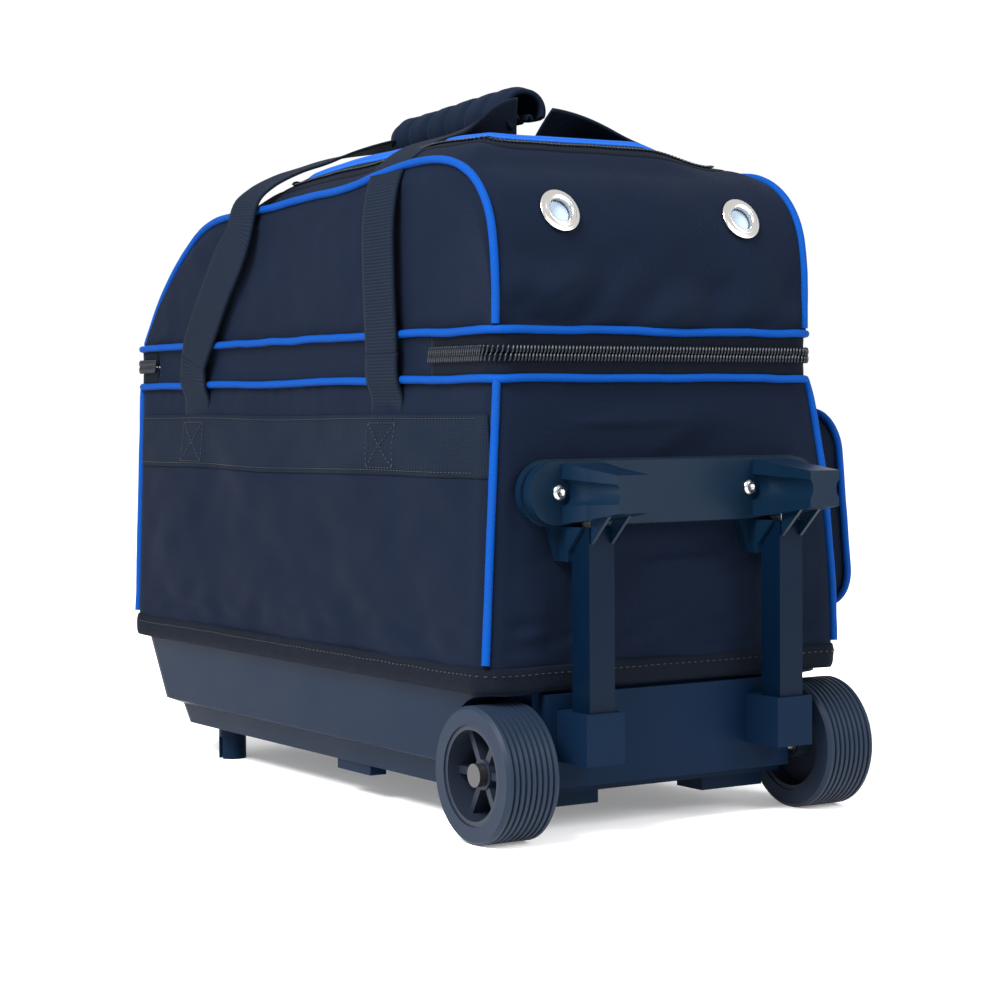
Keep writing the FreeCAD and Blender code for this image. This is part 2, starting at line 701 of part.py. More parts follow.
def strap_loop(sign):
    """Webbing loop: two legs up the side, over the lid's edge, and a folded run along the top."""
    y = BODY_HALF_W + STRAP_OFF + STRAP_T / 2
    stations = [(y, LOOP_BOTTOM_Z, 0, 0.1), (y + 0.6, 350, 4, 0.6), (y + 0.4, 388, 20, 1.0),
                (y - 5, 415, 40, 1.1), (y - 18, 427, 62, 1.3), (64, 437, 72, 1.6), (6, 447, 80, 2.0)]
    pieces = []
    for at_band, at_edge, at_wrap in LEG_X:
        wires = []
        for y, z, lean, t in stations:
            x = at_band + (at_edge - at_band) * min(t, 1) + (at_wrap - at_edge) * max(t - 1, 0)
            half = STRAP_W / 2 if t < 1.5 else 14.0
            wires.append(leg_section(x, half, y, z, lean, sign))
        pieces.append(loft(wires))
    y0, y1 = sorted((sign * 2.0, sign * 10.5))
    pieces.append(box(*GRIP_RUN_X, y0, y1, GRIP_RUN_Z - 6, GRIP_RUN_Z + 5))
    return fuse_all(pieces)


def grip_wrap():
    """Quilted pad round the back strap's run; its mouth faces the front strap."""
    x0, x1 = WRAP_X
    r_out, r_in = 19.0, 14.4
    along = V(1, 0, 0)
    c = V(x0, 0, GRIP_RUN_Z)
    pad = Part.makeCylinder(r_out, x1 - x0, c, along)
    pad = pad.cut(Part.makeCylinder(r_in, x1 - x0 + 2, c - along, along))
    mouth = box(x0 - 1, x1 + 1, -40, 3, GRIP_RUN_Z - 40, GRIP_RUN_Z + 8.5)
    return pad.cut(mouth)


# ---------------------------------------------------------------- build
def main():
    save("base_tray", base_tray())
    save("base_board", base_board())
    save("far_feet", far_feet())
    save("skids", skids())
    save("ball_cup_wheel_end", ball_cup(BALL_X[0]))
    save("ball_cup_far_end", ball_cup(BALL_X[1]))
    save("ball_divider", ball_divider())
    save("axle", axle())
    save("axle_washers", axle_washers())
    save("push_nuts", push_nuts())
    for name, sign in (("back", 1), ("front", -1)):
        save("tyre_" + name, tyre(sign))
        save("hub_" + name, hub(sign))
        save("handle_socket_" + name, handle_socket(sign))
        save("outer_tube_" + name, square_tube(TUBE_W, TUBE_WALL, sign * TUBE_Y, *TUBE_Z))
        save("strap_feet_" + name, strap_feet(sign))
        save("lid_piping_" + name, lid_side_piping(sign))
        save("strap_" + name, strap_loop(sign))
    save("handle_bracket", handle_bracket())
    save("bracket_rivets", bracket_rivets())
    save("handle_stage_1", stage_pair(1, TUBE_Z[1] - 0.4))
    save("handle_stage_2", stage_pair(2, TUBE_Z[1] - 0.2))
    save("handle_stage_3", stage_pair(3, 213.5))
    save("grip_front", grip_front())
    save("grip_rear", grip_rear())
    save("grip_screws", grip_screws())
    save("body_shell", body_shell())
    save("hem_binding", hem_binding())
    save("body_piping_ring", piping_ring(PIPING_Z))
    save("corner_pipings", corner_pipings())
    save("back_band", back_band())
    save("zip_band_lower", zip_band(PIPING_Z + PIPE_R + 0.2, ZIP_Z - 1.2))
    save("zip_coil_lower", zip_coil(ZIP_Z - 3.5, ZIP_Z - 0.4))
    save("front_pocket", front_pocket())
    save("pocket_piping", pocket_piping())
    save("pocket_zip", pocket_zip())
    for name, x in zip(("a", "b"), SLIDER_X):
        save("main_slider_" + name, slider_on_front(x))
        save("main_pull_" + name, pull_on_front(x))
    save("pocket_slider", flat_slider(POCKET_SLIDER_X, POCKET_ZIP_Y, POCKET_Z[1] + 3.4))
    save("pocket_pull", flat_pull(POCKET_SLIDER_X, POCKET_ZIP_Y, POCKET_Z[1] + 3.4))
    skin = lid_skin()
    save("lid_shell", lid_shell(skin))
    save("lid_top_flap", skin.common(over_flap(0)))
    save("lid_floor", lid_floor())
    save("lid_top_zip", on_lid(8.5, -8.5))
    save("lid_trim", on_lid(-9, -24))
    save("lid_piping_ring", piping_ring(LID_PIPING_Z))
    save("zip_band_upper", zip_band(ZIP_Z + 1.2, LID_PIPING_Z - PIPE_R - 0.2))
    save("zip_coil_upper", zip_coil(ZIP_Z + 0.4, ZIP_Z + 3.5))
    save("lid_grommets", lid_grommets())
    save("top_slider", flat_slider(*TOP_SLIDER))
    save("top_pull", flat_pull(*TOP_SLIDER))
    save("grip_wrap", grip_wrap())


main()
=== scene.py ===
import math
import bmesh
import bpy
from mathutils import Matrix, Vector, noise


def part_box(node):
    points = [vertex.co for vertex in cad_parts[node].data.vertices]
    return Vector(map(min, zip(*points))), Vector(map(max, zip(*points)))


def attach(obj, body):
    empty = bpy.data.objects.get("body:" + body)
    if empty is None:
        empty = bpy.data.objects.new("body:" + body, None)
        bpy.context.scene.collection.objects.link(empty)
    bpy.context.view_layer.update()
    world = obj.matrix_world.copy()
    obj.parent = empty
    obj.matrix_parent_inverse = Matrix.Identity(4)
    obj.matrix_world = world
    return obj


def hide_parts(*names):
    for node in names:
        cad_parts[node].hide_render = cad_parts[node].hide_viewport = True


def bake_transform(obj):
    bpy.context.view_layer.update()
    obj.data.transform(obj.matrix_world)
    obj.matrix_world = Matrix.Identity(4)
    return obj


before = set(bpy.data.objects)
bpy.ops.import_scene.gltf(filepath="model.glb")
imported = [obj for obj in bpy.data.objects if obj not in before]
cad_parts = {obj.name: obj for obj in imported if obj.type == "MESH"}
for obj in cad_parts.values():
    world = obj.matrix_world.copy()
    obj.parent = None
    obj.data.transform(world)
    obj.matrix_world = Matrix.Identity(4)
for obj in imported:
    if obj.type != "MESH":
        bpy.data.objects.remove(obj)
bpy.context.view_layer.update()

# %% [markdown]
# # A bowling bag on wheels
# The stiff parts (tray, wheels, handle, sliders) come from the imported frame and only need finishes; the
# eyelets are spun here.
# Everything sewn is made here, because cloth has bulges, puckers, seams and stitches that a solid lacks.
# Positions are given in millimetres from the middle of the lid, then turned into the frame's metres, so that
# the numbers read like the tape measure of the person who would sew it.

# %% Where the bag stands in the frame
MM = 0.001
lid_low, lid_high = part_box("lid_shell")
middle = Vector(((lid_low.x + lid_high.x) / 2, (lid_low.y + lid_high.y) / 2, 0))
HALF_L, HALF_W = 251.0, 120.0          # the fabric body at its piping
HEM_Z, PIPING_Z, LID_PIPING_Z = 88.0, 274.6, 303.0
PIPE_R = 2.5
CORNER_R = 12.0
HEM_WHEEL, HEM_FAR, HEM_W = 259.0, 233.0, 135.0   # the outline at the hem, from the middle of the lid
print("middle of the lid", tuple(round(c, 4) for c in middle))


def at(x, y, z):
    return middle + Vector((x, y, z)) * MM


def ease(t):
    t = max(0.0, min(1.0, t))
    return t * t * (3 - 2 * t)


def rough(x, y, z, scale):
    """Smooth noise between about -1 and 1; scale is the size of its lumps in millimetres."""
    return noise.noise(Vector((x, y, z)) / scale + Vector((7.3, 1.9, 4.1)))


# %% [markdown]
# ## Finishes
# Woven cloth reads as cloth through three things: threads small enough to count only up close, a soft
# sheen at grazing angles, and slow changes of tone. Each fabric finish here is two crossed waves for the
# threads, laid along the piece's own UV (in metres), with fine noise for fuzz.

# %% Finish helpers
def new_material(name, colour, roughness, metallic=0.0, sheen=0.0, specular=0.5):
    mat = bpy.data.materials.new(name)
    mat.use_nodes = True
    shader = mat.node_tree.nodes["Principled BSDF"]
    shader.inputs["Base Color"].default_value = (*colour, 1)
    shader.inputs["Roughness"].default_value = roughness
    shader.inputs["Metallic"].default_value = metallic
    shader.inputs["Specular IOR Level"].default_value = specular
    if sheen:
        shader.inputs["Sheen Weight"].default_value = sheen
        shader.inputs["Sheen Roughness"].default_value = 0.45
        shader.inputs["Sheen Tint"].default_value = (0.62, 0.72, 1.0, 1)
    return mat


def node(mat, kind, links=(), **values):
    made = mat.node_tree.nodes.new(kind)
    for key, value in values.items():
        if hasattr(made, key):
            setattr(made, key, value)
        else:
            made.inputs[key.replace("_", " ")].default_value = value
    for socket, source in links:
        mat.node_tree.links.new(source, made.inputs[socket])
    return made


def wave(mat, coords, direction, period):
    """A sine wave of that period in metres."""
    span = 0.4443 if direction == "DIAGONAL" else 0.31416
    made = node(mat, "ShaderNodeTexWave", [("Vector", coords)], bands_direction=direction,
                Scale=span / period)
    made.wave_profile = "SIN"
    return made.outputs["Fac"]


def combine(mat, operation, a, b):
    made = node(mat, "ShaderNodeMath", operation=operation)
    for socket, value in ((0, a), (1, b)):
        if isinstance(value, (int, float)):
            made.inputs[socket].default_value = value
        else:
            mat.node_tree.links.new(value, made.inputs[socket])
    return made.outputs[0]


def finish_surface(mat, height, dark, light, distance, strength=0.6):
    """Colours a surface between two tones by its height, and raises it."""
    links = mat.node_tree.links
    shader = mat.node_tree.nodes["Principled BSDF"]
    mix = node(mat, "ShaderNodeMix", data_type="RGBA")
    mix.inputs[6].default_value = (*dark, 1)
    mix.inputs[7].default_value = (*light, 1)
    links.new(height, mix.inputs[0])
    links.new(mix.outputs[2], shader.inputs["Base Color"])
    bump = node(mat, "ShaderNodeBump", [("Height", height)], Strength=strength, Distance=distance)
    links.new(bump.outputs[0], shader.inputs["Normal"])


def woven(name, dark, light, along, across, pattern, sheen=0.012, roughness=0.82, depth=0.0004):
    """A woven finish. pattern is the directions of its two waves; along and across are their periods."""
    mat = new_material(name, dark, roughness, sheen=sheen, specular=0.05)
    uv = node(mat, "ShaderNodeUVMap").outputs[0]
    threads = combine(mat, "MULTIPLY", wave(mat, uv, pattern[0], along), wave(mat, uv, pattern[1], across))
    fuzz = node(mat, "ShaderNodeTexNoise", [("Vector", uv)], Scale=900.0, Detail=3.0).outputs["Fac"]
    slow = node(mat, "ShaderNodeTexNoise", [("Vector", uv)], Scale=14.0, Detail=3.0).outputs["Fac"]
    # The threads' height also sets their colour: painted shade in the weave's hollows and a painted highlight
    # on the raised threads. The fuzz flecks and the slow changes of tone are the cloth's own colour.
    shade = combine(mat, "ADD", combine(mat, "MULTIPLY", threads, 0.55), combine(mat, "MULTIPLY", fuzz, 0.35))
    shade = combine(mat, "MULTIPLY", shade, combine(mat, "ADD", combine(mat, "MULTIPLY", slow, 0.5), 0.8))
    finish_surface(mat, shade, dark, light, depth)
    return mat


def moulded(name, dark, light, roughness, grain=0.0001, specular=0.12):
    """Moulded plastic or rubber with a fine grain and slightly uneven gloss."""
    mat = new_material(name, dark, roughness, specular=specular)
    place = node(mat, "ShaderNodeTexCoord").outputs["Object"]
    fine = node(mat, "ShaderNodeTexNoise", [("Vector", place)], Scale=1100.0, Detail=2.0).outputs["Fac"]
    slow = node(mat, "ShaderNodeTexNoise", [("Vector", place)], Scale=22.0, Detail=4.0).outputs["Fac"]
    both = combine(mat, "ADD", combine(mat, "MULTIPLY", fine, 0.5), combine(mat, "MULTIPLY", slow, 0.5))
    finish_surface(mat, both, dark, light, grain, 0.35)
    gloss = node(mat, "ShaderNodeMapRange", [("Value", slow)], To_Min=roughness - 0.07,
                 To_Max=roughness + 0.09)
    mat.node_tree.links.new(gloss.outputs[0], mat.node_tree.nodes["Principled BSDF"].inputs["Roughness"])
    return mat


# %% The finishes
cloth = woven("twill_cloth", (0.0004, 0.0014, 0.0048), (0.0034, 0.0085, 0.0225), 0.0013, 0.0007,
              ("DIAGONAL", "Y"))
webbing = woven("ribbed_webbing", (0.0008, 0.0018, 0.0045), (0.0052, 0.0115, 0.0243), 0.0021, 0.0012,
                ("X", "Y"), depth=0.0008)
tape = woven("black_tape", (0.0006, 0.0013, 0.0030), (0.0035, 0.0060, 0.0125), 0.0012, 0.0008, ("X", "Y"))
piping = woven("blue_piping", (0.0, 0.018, 0.10), (0.0, 0.052, 0.27), 0.0014, 0.0012,
               ("DIAGONAL", "X"), sheen=0.0, roughness=0.7)
trim = woven("ribbed_blue_tape", (0.001, 0.028, 0.15), (0.012, 0.095, 0.42), 0.0016, 0.004,
             ("X", "Y"), sheen=0.01, depth=0.0006)
quilt = woven("quilted_cloth", (0.0007, 0.0021, 0.0060), (0.0036, 0.0095, 0.0240), 0.0013, 0.0009,
              ("DIAGONAL", "Y"))
foam = moulded("grey_foam", (0.05, 0.05, 0.055), (0.09, 0.09, 0.095), 0.9, 0.0005)
thread = new_material("black_thread", (0.004, 0.005, 0.008), 0.5, specular=0.3)
# A pale woven disc for inside each eyelet: painted light, standing in for the brightness seen in the eyelet's
# hole.
hole_brightness = woven("painted_light_in_hole", (0.20, 0.25, 0.32), (0.50, 0.60, 0.72), 0.0012, 0.0012, ("X", "Y"))
tray_mat = moulded("tray_plastic", (0.0016, 0.0058, 0.0155), (0.0024, 0.0082, 0.0210), 0.40, specular=0.03)
handle_mat = moulded("handle_plastic", (0.0008, 0.0048, 0.0125), (0.0013, 0.0080, 0.0187), 0.34)
tyre_mat = moulded("hard_rubber", (0.0035, 0.0080, 0.0165), (0.0060, 0.0120, 0.0255), 0.52)
hub_mat = moulded("hub_plastic", (0.0060, 0.0085, 0.0150), (0.010, 0.014, 0.023), 0.38)
tube_mat = moulded("satin_tube", (0.0004, 0.0030, 0.0090), (0.0007, 0.0046, 0.0130), 0.33, 0.00003, 0.06)
coil_mat = new_material("coil_plastic", (0.003, 0.005, 0.009), 0.28, specular=0.25)
enamel = new_material("black_enamel", (0.02, 0.02, 0.022), 0.3, metallic=0.4)
nickel = new_material("polished_nickel", (0.60, 0.585, 0.56), 0.16, metallic=1.0)
steel = new_material("turned_steel", (0.42, 0.43, 0.45), 0.25, metallic=1.0)
alloy = new_material("brushed_alloy", (0.62, 0.63, 0.65), 0.34, metallic=1.0)
print(len(bpy.data.materials), "finishes")

# %% [markdown]
# ## Finishes on the stiff parts
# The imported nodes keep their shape. Injection-moulded edges are never knife sharp, so each node's own
# solid shows its fillets and only the finish changes here.

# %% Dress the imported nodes
DRESS = {
    tray_mat: ["base_tray", "far_feet", "skids", "handle_socket_back", "handle_socket_front", "base_board"],
    handle_mat: ["handle_bracket", "grip_front", "grip_rear"],
    tube_mat: ["outer_tube_back", "outer_tube_front"],
    alloy: ["handle_stage_1", "handle_stage_2", "handle_stage_3"],
    tyre_mat: ["tyre_back", "tyre_front"],
    hub_mat: ["hub_back", "hub_front"],
    steel: ["axle", "axle_washers", "bracket_rivets"],
    enamel: ["push_nuts", "main_slider_a", "main_slider_b", "main_pull_a", "main_pull_b", "pocket_slider",
             "pocket_pull", "top_slider", "top_pull"],
}
for mat, names in DRESS.items():
    for name in names:
        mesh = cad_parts[name].data
        mesh.materials.clear()
        mesh.materials.append(mat)
print(sum(len(names) for names in DRESS.values()), "nodes dressed")


# %% [markdown]
# ## How cloth panels are made
# A panel starts as a flat grid, the way cloth starts as a flat cut piece. A function then says where each
# point of the cut piece ends up on the bag. The grid's own coordinates stay with it as the UV in metres,
# so the weave keeps its true size. Closed bands are welded at their seam.

# %% Panel and small-piece helpers
def add_object(name, bm, mat, smooth=True, fix=True):
    if fix:
        bmesh.ops.recalc_face_normals(bm, faces=bm.faces)
    mesh = bpy.data.meshes.new(name)
    bm.to_mesh(mesh)
    bm.free()
    mesh.materials.append(mat)
    if smooth:
        mesh.shade_smooth()
    made = bpy.data.objects.new(name, mesh)
    bpy.context.scene.collection.objects.link(made)
    return made


def panel(name, cuts, size, place, mat, thick=0.0, weld=False):
    """A cloth piece. cuts is its grid, size its flat size in mm, place(u, v) its point on the bag.
    thick grows inwards, because the faces are first turned away from the middle of the bag."""
    bm = bmesh.new()
    uv = bm.loops.layers.uv.new("UVMap")
    bmesh.ops.create_grid(bm, x_segments=cuts[0], y_segments=cuts[1], size=0.5)
    for face in bm.faces:
        for loop in face.loops:
            co = loop.vert.co
            loop[uv].uv = ((co.x + 0.5) * size[0] * MM, (co.y + 0.5) * size[1] * MM)
    for vert in bm.verts:
        vert.co = place(vert.co.x + 0.5, vert.co.y + 0.5)
    if weld:
        bmesh.ops.remove_doubles(bm, verts=bm.verts, dist=0.00005)
    bmesh.ops.recalc_face_normals(bm, faces=bm.faces)
    core = at(0, 0, 250)
    facing = sum((f.calc_center_median() - core).normalized().dot(f.normal) for f in bm.faces)
    if facing < 0:
        bmesh.ops.reverse_faces(bm, faces=bm.faces)
    if thick:
        bmesh.ops.solidify(bm, geom=bm.faces[:], thickness=thick * MM)
    return add_object(name, bm, mat, fix=bool(thick or weld))


def smooth_line(points, count):
    """Evenly spaced points on a smooth curve through the given ones."""
    pts = [Vector(p) for p in points]
    fine = []
    for i in range(len(pts) - 1):
        p0, p1, p2, p3 = pts[max(i - 1, 0)], pts[i], pts[i + 1], pts[min(i + 2, len(pts) - 1)]
        for k in range(16):
            t = k / 16
            fine.append(0.5 * ((2 * p1) + (p2 - p0) * t + (2 * p0 - 5 * p1 + 4 * p2 - p3) * t * t
                               + (3 * p1 - p0 - 3 * p2 + p3) * t ** 3))
    fine.append(pts[-1])
    run = [0.0]
    for a, b in zip(fine, fine[1:]):
        run.append(run[-1] + (b - a).length)
    out, j = [], 0
    for k in range(count + 1):
        want = run[-1] * k / count
        while j < len(fine) - 2 and run[j + 1] < want:
            j += 1
        t = (want - run[j]) / max(run[j + 1] - run[j], 1e-9)
        out.append(fine[j].lerp(fine[j + 1], min(1.0, t)))
    return out, run[-1]


def pick(line, u):
    k = u * (len(line) - 1)
    i = min(int(k), len(line) - 2)
    return line[i].lerp(line[i + 1], k - i)


def heading(line, u):
    return (pick(line, min(1, u + 0.004)) - pick(line, max(0, u - 0.004))).normalized()


def cord(name, points, mat, radius=PIPE_R, closed=False, count=0, sides=12, level=(0, 0, 1)):
    """A round cord along a line of points in millimetres, a little uneven as sewn cord is.
    level is a direction that its line never points along."""
    pts = list(points) + ([points[0]] if closed else [])
    line, length = smooth_line(pts, count or int(len(pts) * 3))
    up = Vector(level)

    def place(u, v):
        run = heading(line, u)
        if closed and (u < 0.005 or u > 0.995):
            run = (line[1] - line[-2]).normalized()
        side = run.cross(up).normalized()
        a = v * 2 * math.pi
        c = pick(line, u)
        r = radius * (1 + 0.05 * rough(c.x, c.y, c.z, 9.0))
        p = c + side * r * math.cos(a) + run.cross(side) * r * math.sin(a)
        return at(*p)

    cuts = (max(24, int(length / 3)), sides)
    return panel(name, cuts, (length, 2 * math.pi * radius), place, mat, weld=True)


def beads(name, spots, size, mat, detail=1):
    """Many small rounded bars, for stitches and zipper coils. Each spot is (point, along, out)."""
    bm = bmesh.new()
    for point, along, out in spots:
        along = along.normalized()
        side = out.cross(along).normalized()
        turn = Matrix((along, side, along.cross(side))).transposed().to_4x4()
        scale = Matrix.Diagonal((size[0] * MM, size[1] * MM, size[2] * MM, 1))
        bmesh.ops.create_icosphere(bm, subdivisions=detail, radius=0.5,
                                   matrix=Matrix.Translation(at(*point)) @ turn @ scale)
    return add_object(name, bm, mat)


def done(piece, body, slot, *nodes):
    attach(piece, body)
    if nodes:
        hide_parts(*nodes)
    return piece


# %% [markdown]
# ## The fabric body
# Four panels sewn at piped corners and pulled down over the tray. Padded cloth between seams is never
# flat: it fills out in the middle of each side, gathers into short puckers where the seams hold it, and
# creases level above the hem, where its slack settles. The bulge is a sum of those three.

# %% The outline round the body
def ring(half_l0, half_l1, half_w, r, s):
    """Point and outward direction at fraction s of a rounded rectangle, from the back's far end."""
    straight = (half_l0 + half_l1 - 2 * r, 2 * half_w - 2 * r)
    arc = math.pi * r / 2
    parts = (straight[0], arc, straight[1], arc, straight[0], arc, straight[1], arc)
    d = (s % 1.0) * sum(parts)
    k = 0
    while d > parts[k] and k < 7:
        d -= parts[k]
        k += 1
    corner = ((-half_l0 + r, half_w - r), (-half_l0 + r, -half_w + r),
              (half_l1 - r, -half_w + r), (half_l1 - r, half_w - r))
    side = k // 2
    if k % 2:
        a = math.radians(90 + 90 * side) + d / r
        cx, cy = corner[side]
        out = Vector((math.cos(a), math.sin(a), 0))
        return Vector((cx + r * math.cos(a), cy + r * math.sin(a), 0)), out, side, 0
    out = (Vector((0, 1, 0)), Vector((-1, 0, 0)), Vector((0, -1, 0)), Vector((1, 0, 0)))[side]
    go = (Vector((-1, 0, 0)), Vector((0, -1, 0)), Vector((1, 0, 0)), Vector((0, 1, 0)))[side]
    start = ((half_l1 - r, half_w), (-half_l0, half_w - r),
             (-half_l0 + r, -half_w), (half_l1, -half_w + r))[side]
    return Vector((*start, 0)) + go * d, out, side, math.sin(math.pi * d / parts[k])


def outline(t):
    """Half sizes of the body at fraction t from the hem to the piping: wheel end, far end, width."""
    return (HEM_WHEEL + (HALF_L - HEM_WHEEL) * t, HEM_FAR + (HALF_L - HEM_FAR) * t,
            HEM_W + (HALF_W - HEM_W) * t)


def body_ring(s, z, out=0.0):
    t = (min(z, PIPING_Z) - HEM_Z) / (PIPING_Z - HEM_Z)
    wheel, far, wide = outline(t)
    p, n, side, fill = ring(wheel + out, far + out, wide + out, CORNER_R + out, s)
    return Vector((p.x, p.y - sag(t) * max(0.0, -p.y / 130), z)), n, side, fill


def sag(t):
    """The front side, with its loaded pocket, hangs out this far at fraction t of its height."""
    return 8.0 * math.sin(math.pi * max(0.0, min(1.0, t))) ** 0.6


def body_bulge(p, z, side, fill):
    t = (z - HEM_Z) / (PIPING_Z - HEM_Z)
    held = min(1.0, 6 * t, 7 * (1 - t)) if 0 < t < 1 else 0.0
    held = max(0.0, held) * ease(5 * fill)
    broad = (4.2 * rough(p.x + 0.7 * z, p.y, z * 1.6 - 0.3 * p.x, 75.0)
             + 1.6 * rough(p.x, p.y + z, z * 1.5, 33.0))
    full = (4.5 if side == 2 else 1.8) * fill ** 0.5 * math.sin(math.pi * max(0, min(1, t)))
    near_top = math.exp(-(PIPING_Z - z) / 16)
    pucker = near_top * 0.9 * rough(p.x, p.y, z * 0.25, 9.0)
    low = math.exp(-(((z - 118) / 18) ** 2))
    crease = low * 4.2 * rough(p.x * 0.35, p.y * 0.35, z, 9.5) * (1.0 if side == 1 else 0.6)
    by_corner = (1 - fill) ** 6
    tug = by_corner * 0.8 * rough(p.x * 0.3, p.y * 0.3, z, 11.0)
    total = held * (broad + full + crease + tug) + pucker * ease(5 * fill)
    if side == 1 and 165 < z < 245:
        total = min(total, 1.8)
    return total


def body_place(u, v):
    z = HEM_Z + 4 + v * (PIPING_Z - HEM_Z - 4)
    p, n, side, fill = body_ring(u, z)
    return at(*(p + n * body_bulge(p, z, side, fill)))


body = panel("fabric_body", (420, 74), (1450, 186), body_place, cloth, thick=3.0, weld=True)
done(body, "bag", "bag_fabric", "body_shell")
print("body", len(body.data.vertices), "points")


# %% [markdown]
# ## Hem tape and its stitches
# A folded tape binds the hem. It is sewn through with one visible row, and follows the tray's rim with a
# slight wander that hand-guided sewing leaves.

# %% Hem tape
def hem_place(u, v):
    z = HEM_Z + 1 + v * 15
    p, n, side, fill = body_ring(u, z)
    roll = 2.0 - 1.1 * (2 * v - 1) ** 4
    wander = 0.7 * rough(p.x, p.y, 0, 30.0)
    return at(*(p + n * (roll + 0.35 * rough(p.x, p.y, z, 7.0)) + Vector((0, 0, wander))))


hem = panel("hem_tape", (360, 8), (1480, 15), hem_place, tape, thick=1.2, weld=True)
done(hem, "bag", "binding", "hem_binding")
hem_spots = []
for k in range(320):
    p, n, side, fill = body_ring(k / 320, 99.5)
    wander = 0.7 * rough(p.x, p.y, 0, 30.0)
    q = body_ring((k + 0.2) / 320, 99.5)[0]
    hem_spots.append((p + n * 2.35 + Vector((0, 0, wander)), q - p, n))
done(beads("hem_stitches", hem_spots, (3.2, 0.9, 0.7), thread), "bag", "binding")


# %% [markdown]
# ## Piping
# Cord wrapped in bright woven cloth covers every seam. A cord is a circle carried along the seam. Its
# line isn't drawn straight: it takes the same small waves as the seam it closes.

# %% Piping round the body, the lid's foot and the four corners
def seam_points(z, out, wave_z, count=120):
    points = []
    for k in range(count):
        p, n, side, fill = body_ring(k / count, z, out)
        dz = wave_z * rough(p.x, p.y, z, 42.0) + 0.35 * rough(p.x, p.y, z, 11.0)
        points.append((p.x + n.x * 0.4 * rough(p.x, z, p.y, 17.0), p.y, z + dz))
    return points


ring_low = cord("body_piping", seam_points(PIPING_Z, PIPE_R - 0.6, 1.0), piping, closed=True, count=500)
done(ring_low, "bag", "piping", "body_piping_ring")
ring_high = cord("lid_foot_piping", seam_points(LID_PIPING_Z, PIPE_R - 0.4, 1.3), piping, closed=True,
                 count=500)
done(ring_high, "lid", "piping", "lid_piping_ring")

straight_l, straight_w = 2 * HALF_L - 2 * CORNER_R, 2 * HALF_W - 2 * CORNER_R
arc = math.pi * CORNER_R / 2
whole = 2 * (straight_l + straight_w + 2 * arc)
corner_s = [(straight_l + arc / 2) / whole, (straight_l + 1.5 * arc + straight_w) / whole,
            (2 * straight_l + 2.5 * arc + straight_w) / whole, 1 - arc / 2 / whole]
for k, s in enumerate(corner_s):
    points = []
    for i in range(24):
        z = 106 + i * (PIPING_Z - 1 - 106) / 23
        t = (z - HEM_Z) / (PIPING_Z - HEM_Z)
        wheel, far, wide = outline(t)
        p, n, side, fill = ring(wheel, far, wide, CORNER_R, s)
        corner = Vector((math.copysign(0.7071, p.x), math.copysign(0.7071, p.y), 0))
        hang = sag(t) if p.y < 0 else 0.0
        base = Vector((CORNER_R - wheel if p.x < 0 else far - CORNER_R,
                       math.copysign(wide - CORNER_R, p.y) - hang, z))
        points.append(tuple(base + corner * (CORNER_R + 1.6 + 0.5 * rough(0, k * 50, z, 26.0))))
    made = cord("corner_piping_%d" % (k + 1), points, piping, count=90, level=(1, 0, 0))
    done(made, "bag", "piping", *(("corner_pipings",) if k == 0 else ()))


# %% [markdown]
# ## Webbing bands and carrying straps
# The straps' ends are tucked under a wide webbing band on the hinged side and sewn through it in boxes
# with a cross. Above it each strap stands off the bag, crosses the lid's edge and runs in to the wrap.
# A strap is a flat ribbon: its width stays level along the bag while its line climbs.

# %% The sewn band on the hinged side
def side_point(x, z, sign, out):
    t = (min(z, PIPING_Z) - HEM_Z) / (PIPING_Z - HEM_Z)
    y = outline(t)[2]
    p = Vector((x, sign * y, z))
    fill = math.sin(math.pi * max(0, min(1, (x + 233) / 466)))
    lift = body_bulge(p, z, 0 if sign > 0 else 2, fill) if z < PIPING_Z else 0
    return Vector((x, sign * (y + lift + out), z))


def band_place(u, v):
    s = corner_s[3] - 1 + 0.006 + u * (corner_s[0] - corner_s[3] + 1 - 0.011)
    x = body_ring(s, 234)[0].x
    z = 215 + v * 38 + 1.6 * rough(x, 0, 0, 130.0)
    p, n, side, fill = body_ring(s, z)
    edge = 0.5 * (2 * v - 1) ** 8
    return at(*(p + n * (body_bulge(p, z, side, fill) + 1.3 - edge)))


band = panel("back_band", (260, 16), (500, 38), band_place, webbing, thick=1.0)
done(band, "bag", "webbing", "back_band")
# Each leg's place along the bag: at the band, at the lid's edge and at the wrap.
LEG_X = ((148.0, 67.0, 49.0), (-128.0, -127.0, -101.0))
box_spots = []
for x_mid in (148.0, -128.0):
    corners = [(-16, 220), (16, 220), (16, 248), (-16, 248)]
    runs = [(corners[i], corners[(i + 1) % 4]) for i in range(4)]
    runs += [(corners[0], corners[2]), (corners[1], corners[3])]
    for a, b in runs:
        n = int(math.hypot(b[0] - a[0], b[1] - a[1]) / 3.4)
        for k in range(n):
            f = (k + 0.5) / n
            p = side_point(x_mid + a[0] + (b[0] - a[0]) * f, a[1] + (b[1] - a[1]) * f, 1, 1.8)
            box_spots.append((p, Vector((b[0] - a[0], 0, b[1] - a[1])), Vector((0, 1, 0))))
for z in (218.0, 250.5):
    for k in range(130):
        x = 232 - k * 3.6
        p = side_point(x, z + 1.6 * rough(x, 0, 0, 130.0), 1, 1.7)
        box_spots.append((p, Vector((1, 0, 0)), Vector((0, 1, 0))))
done(beads("band_stitches", box_spots, (2.6, 0.8, 0.6), thread), "bag", "webbing")


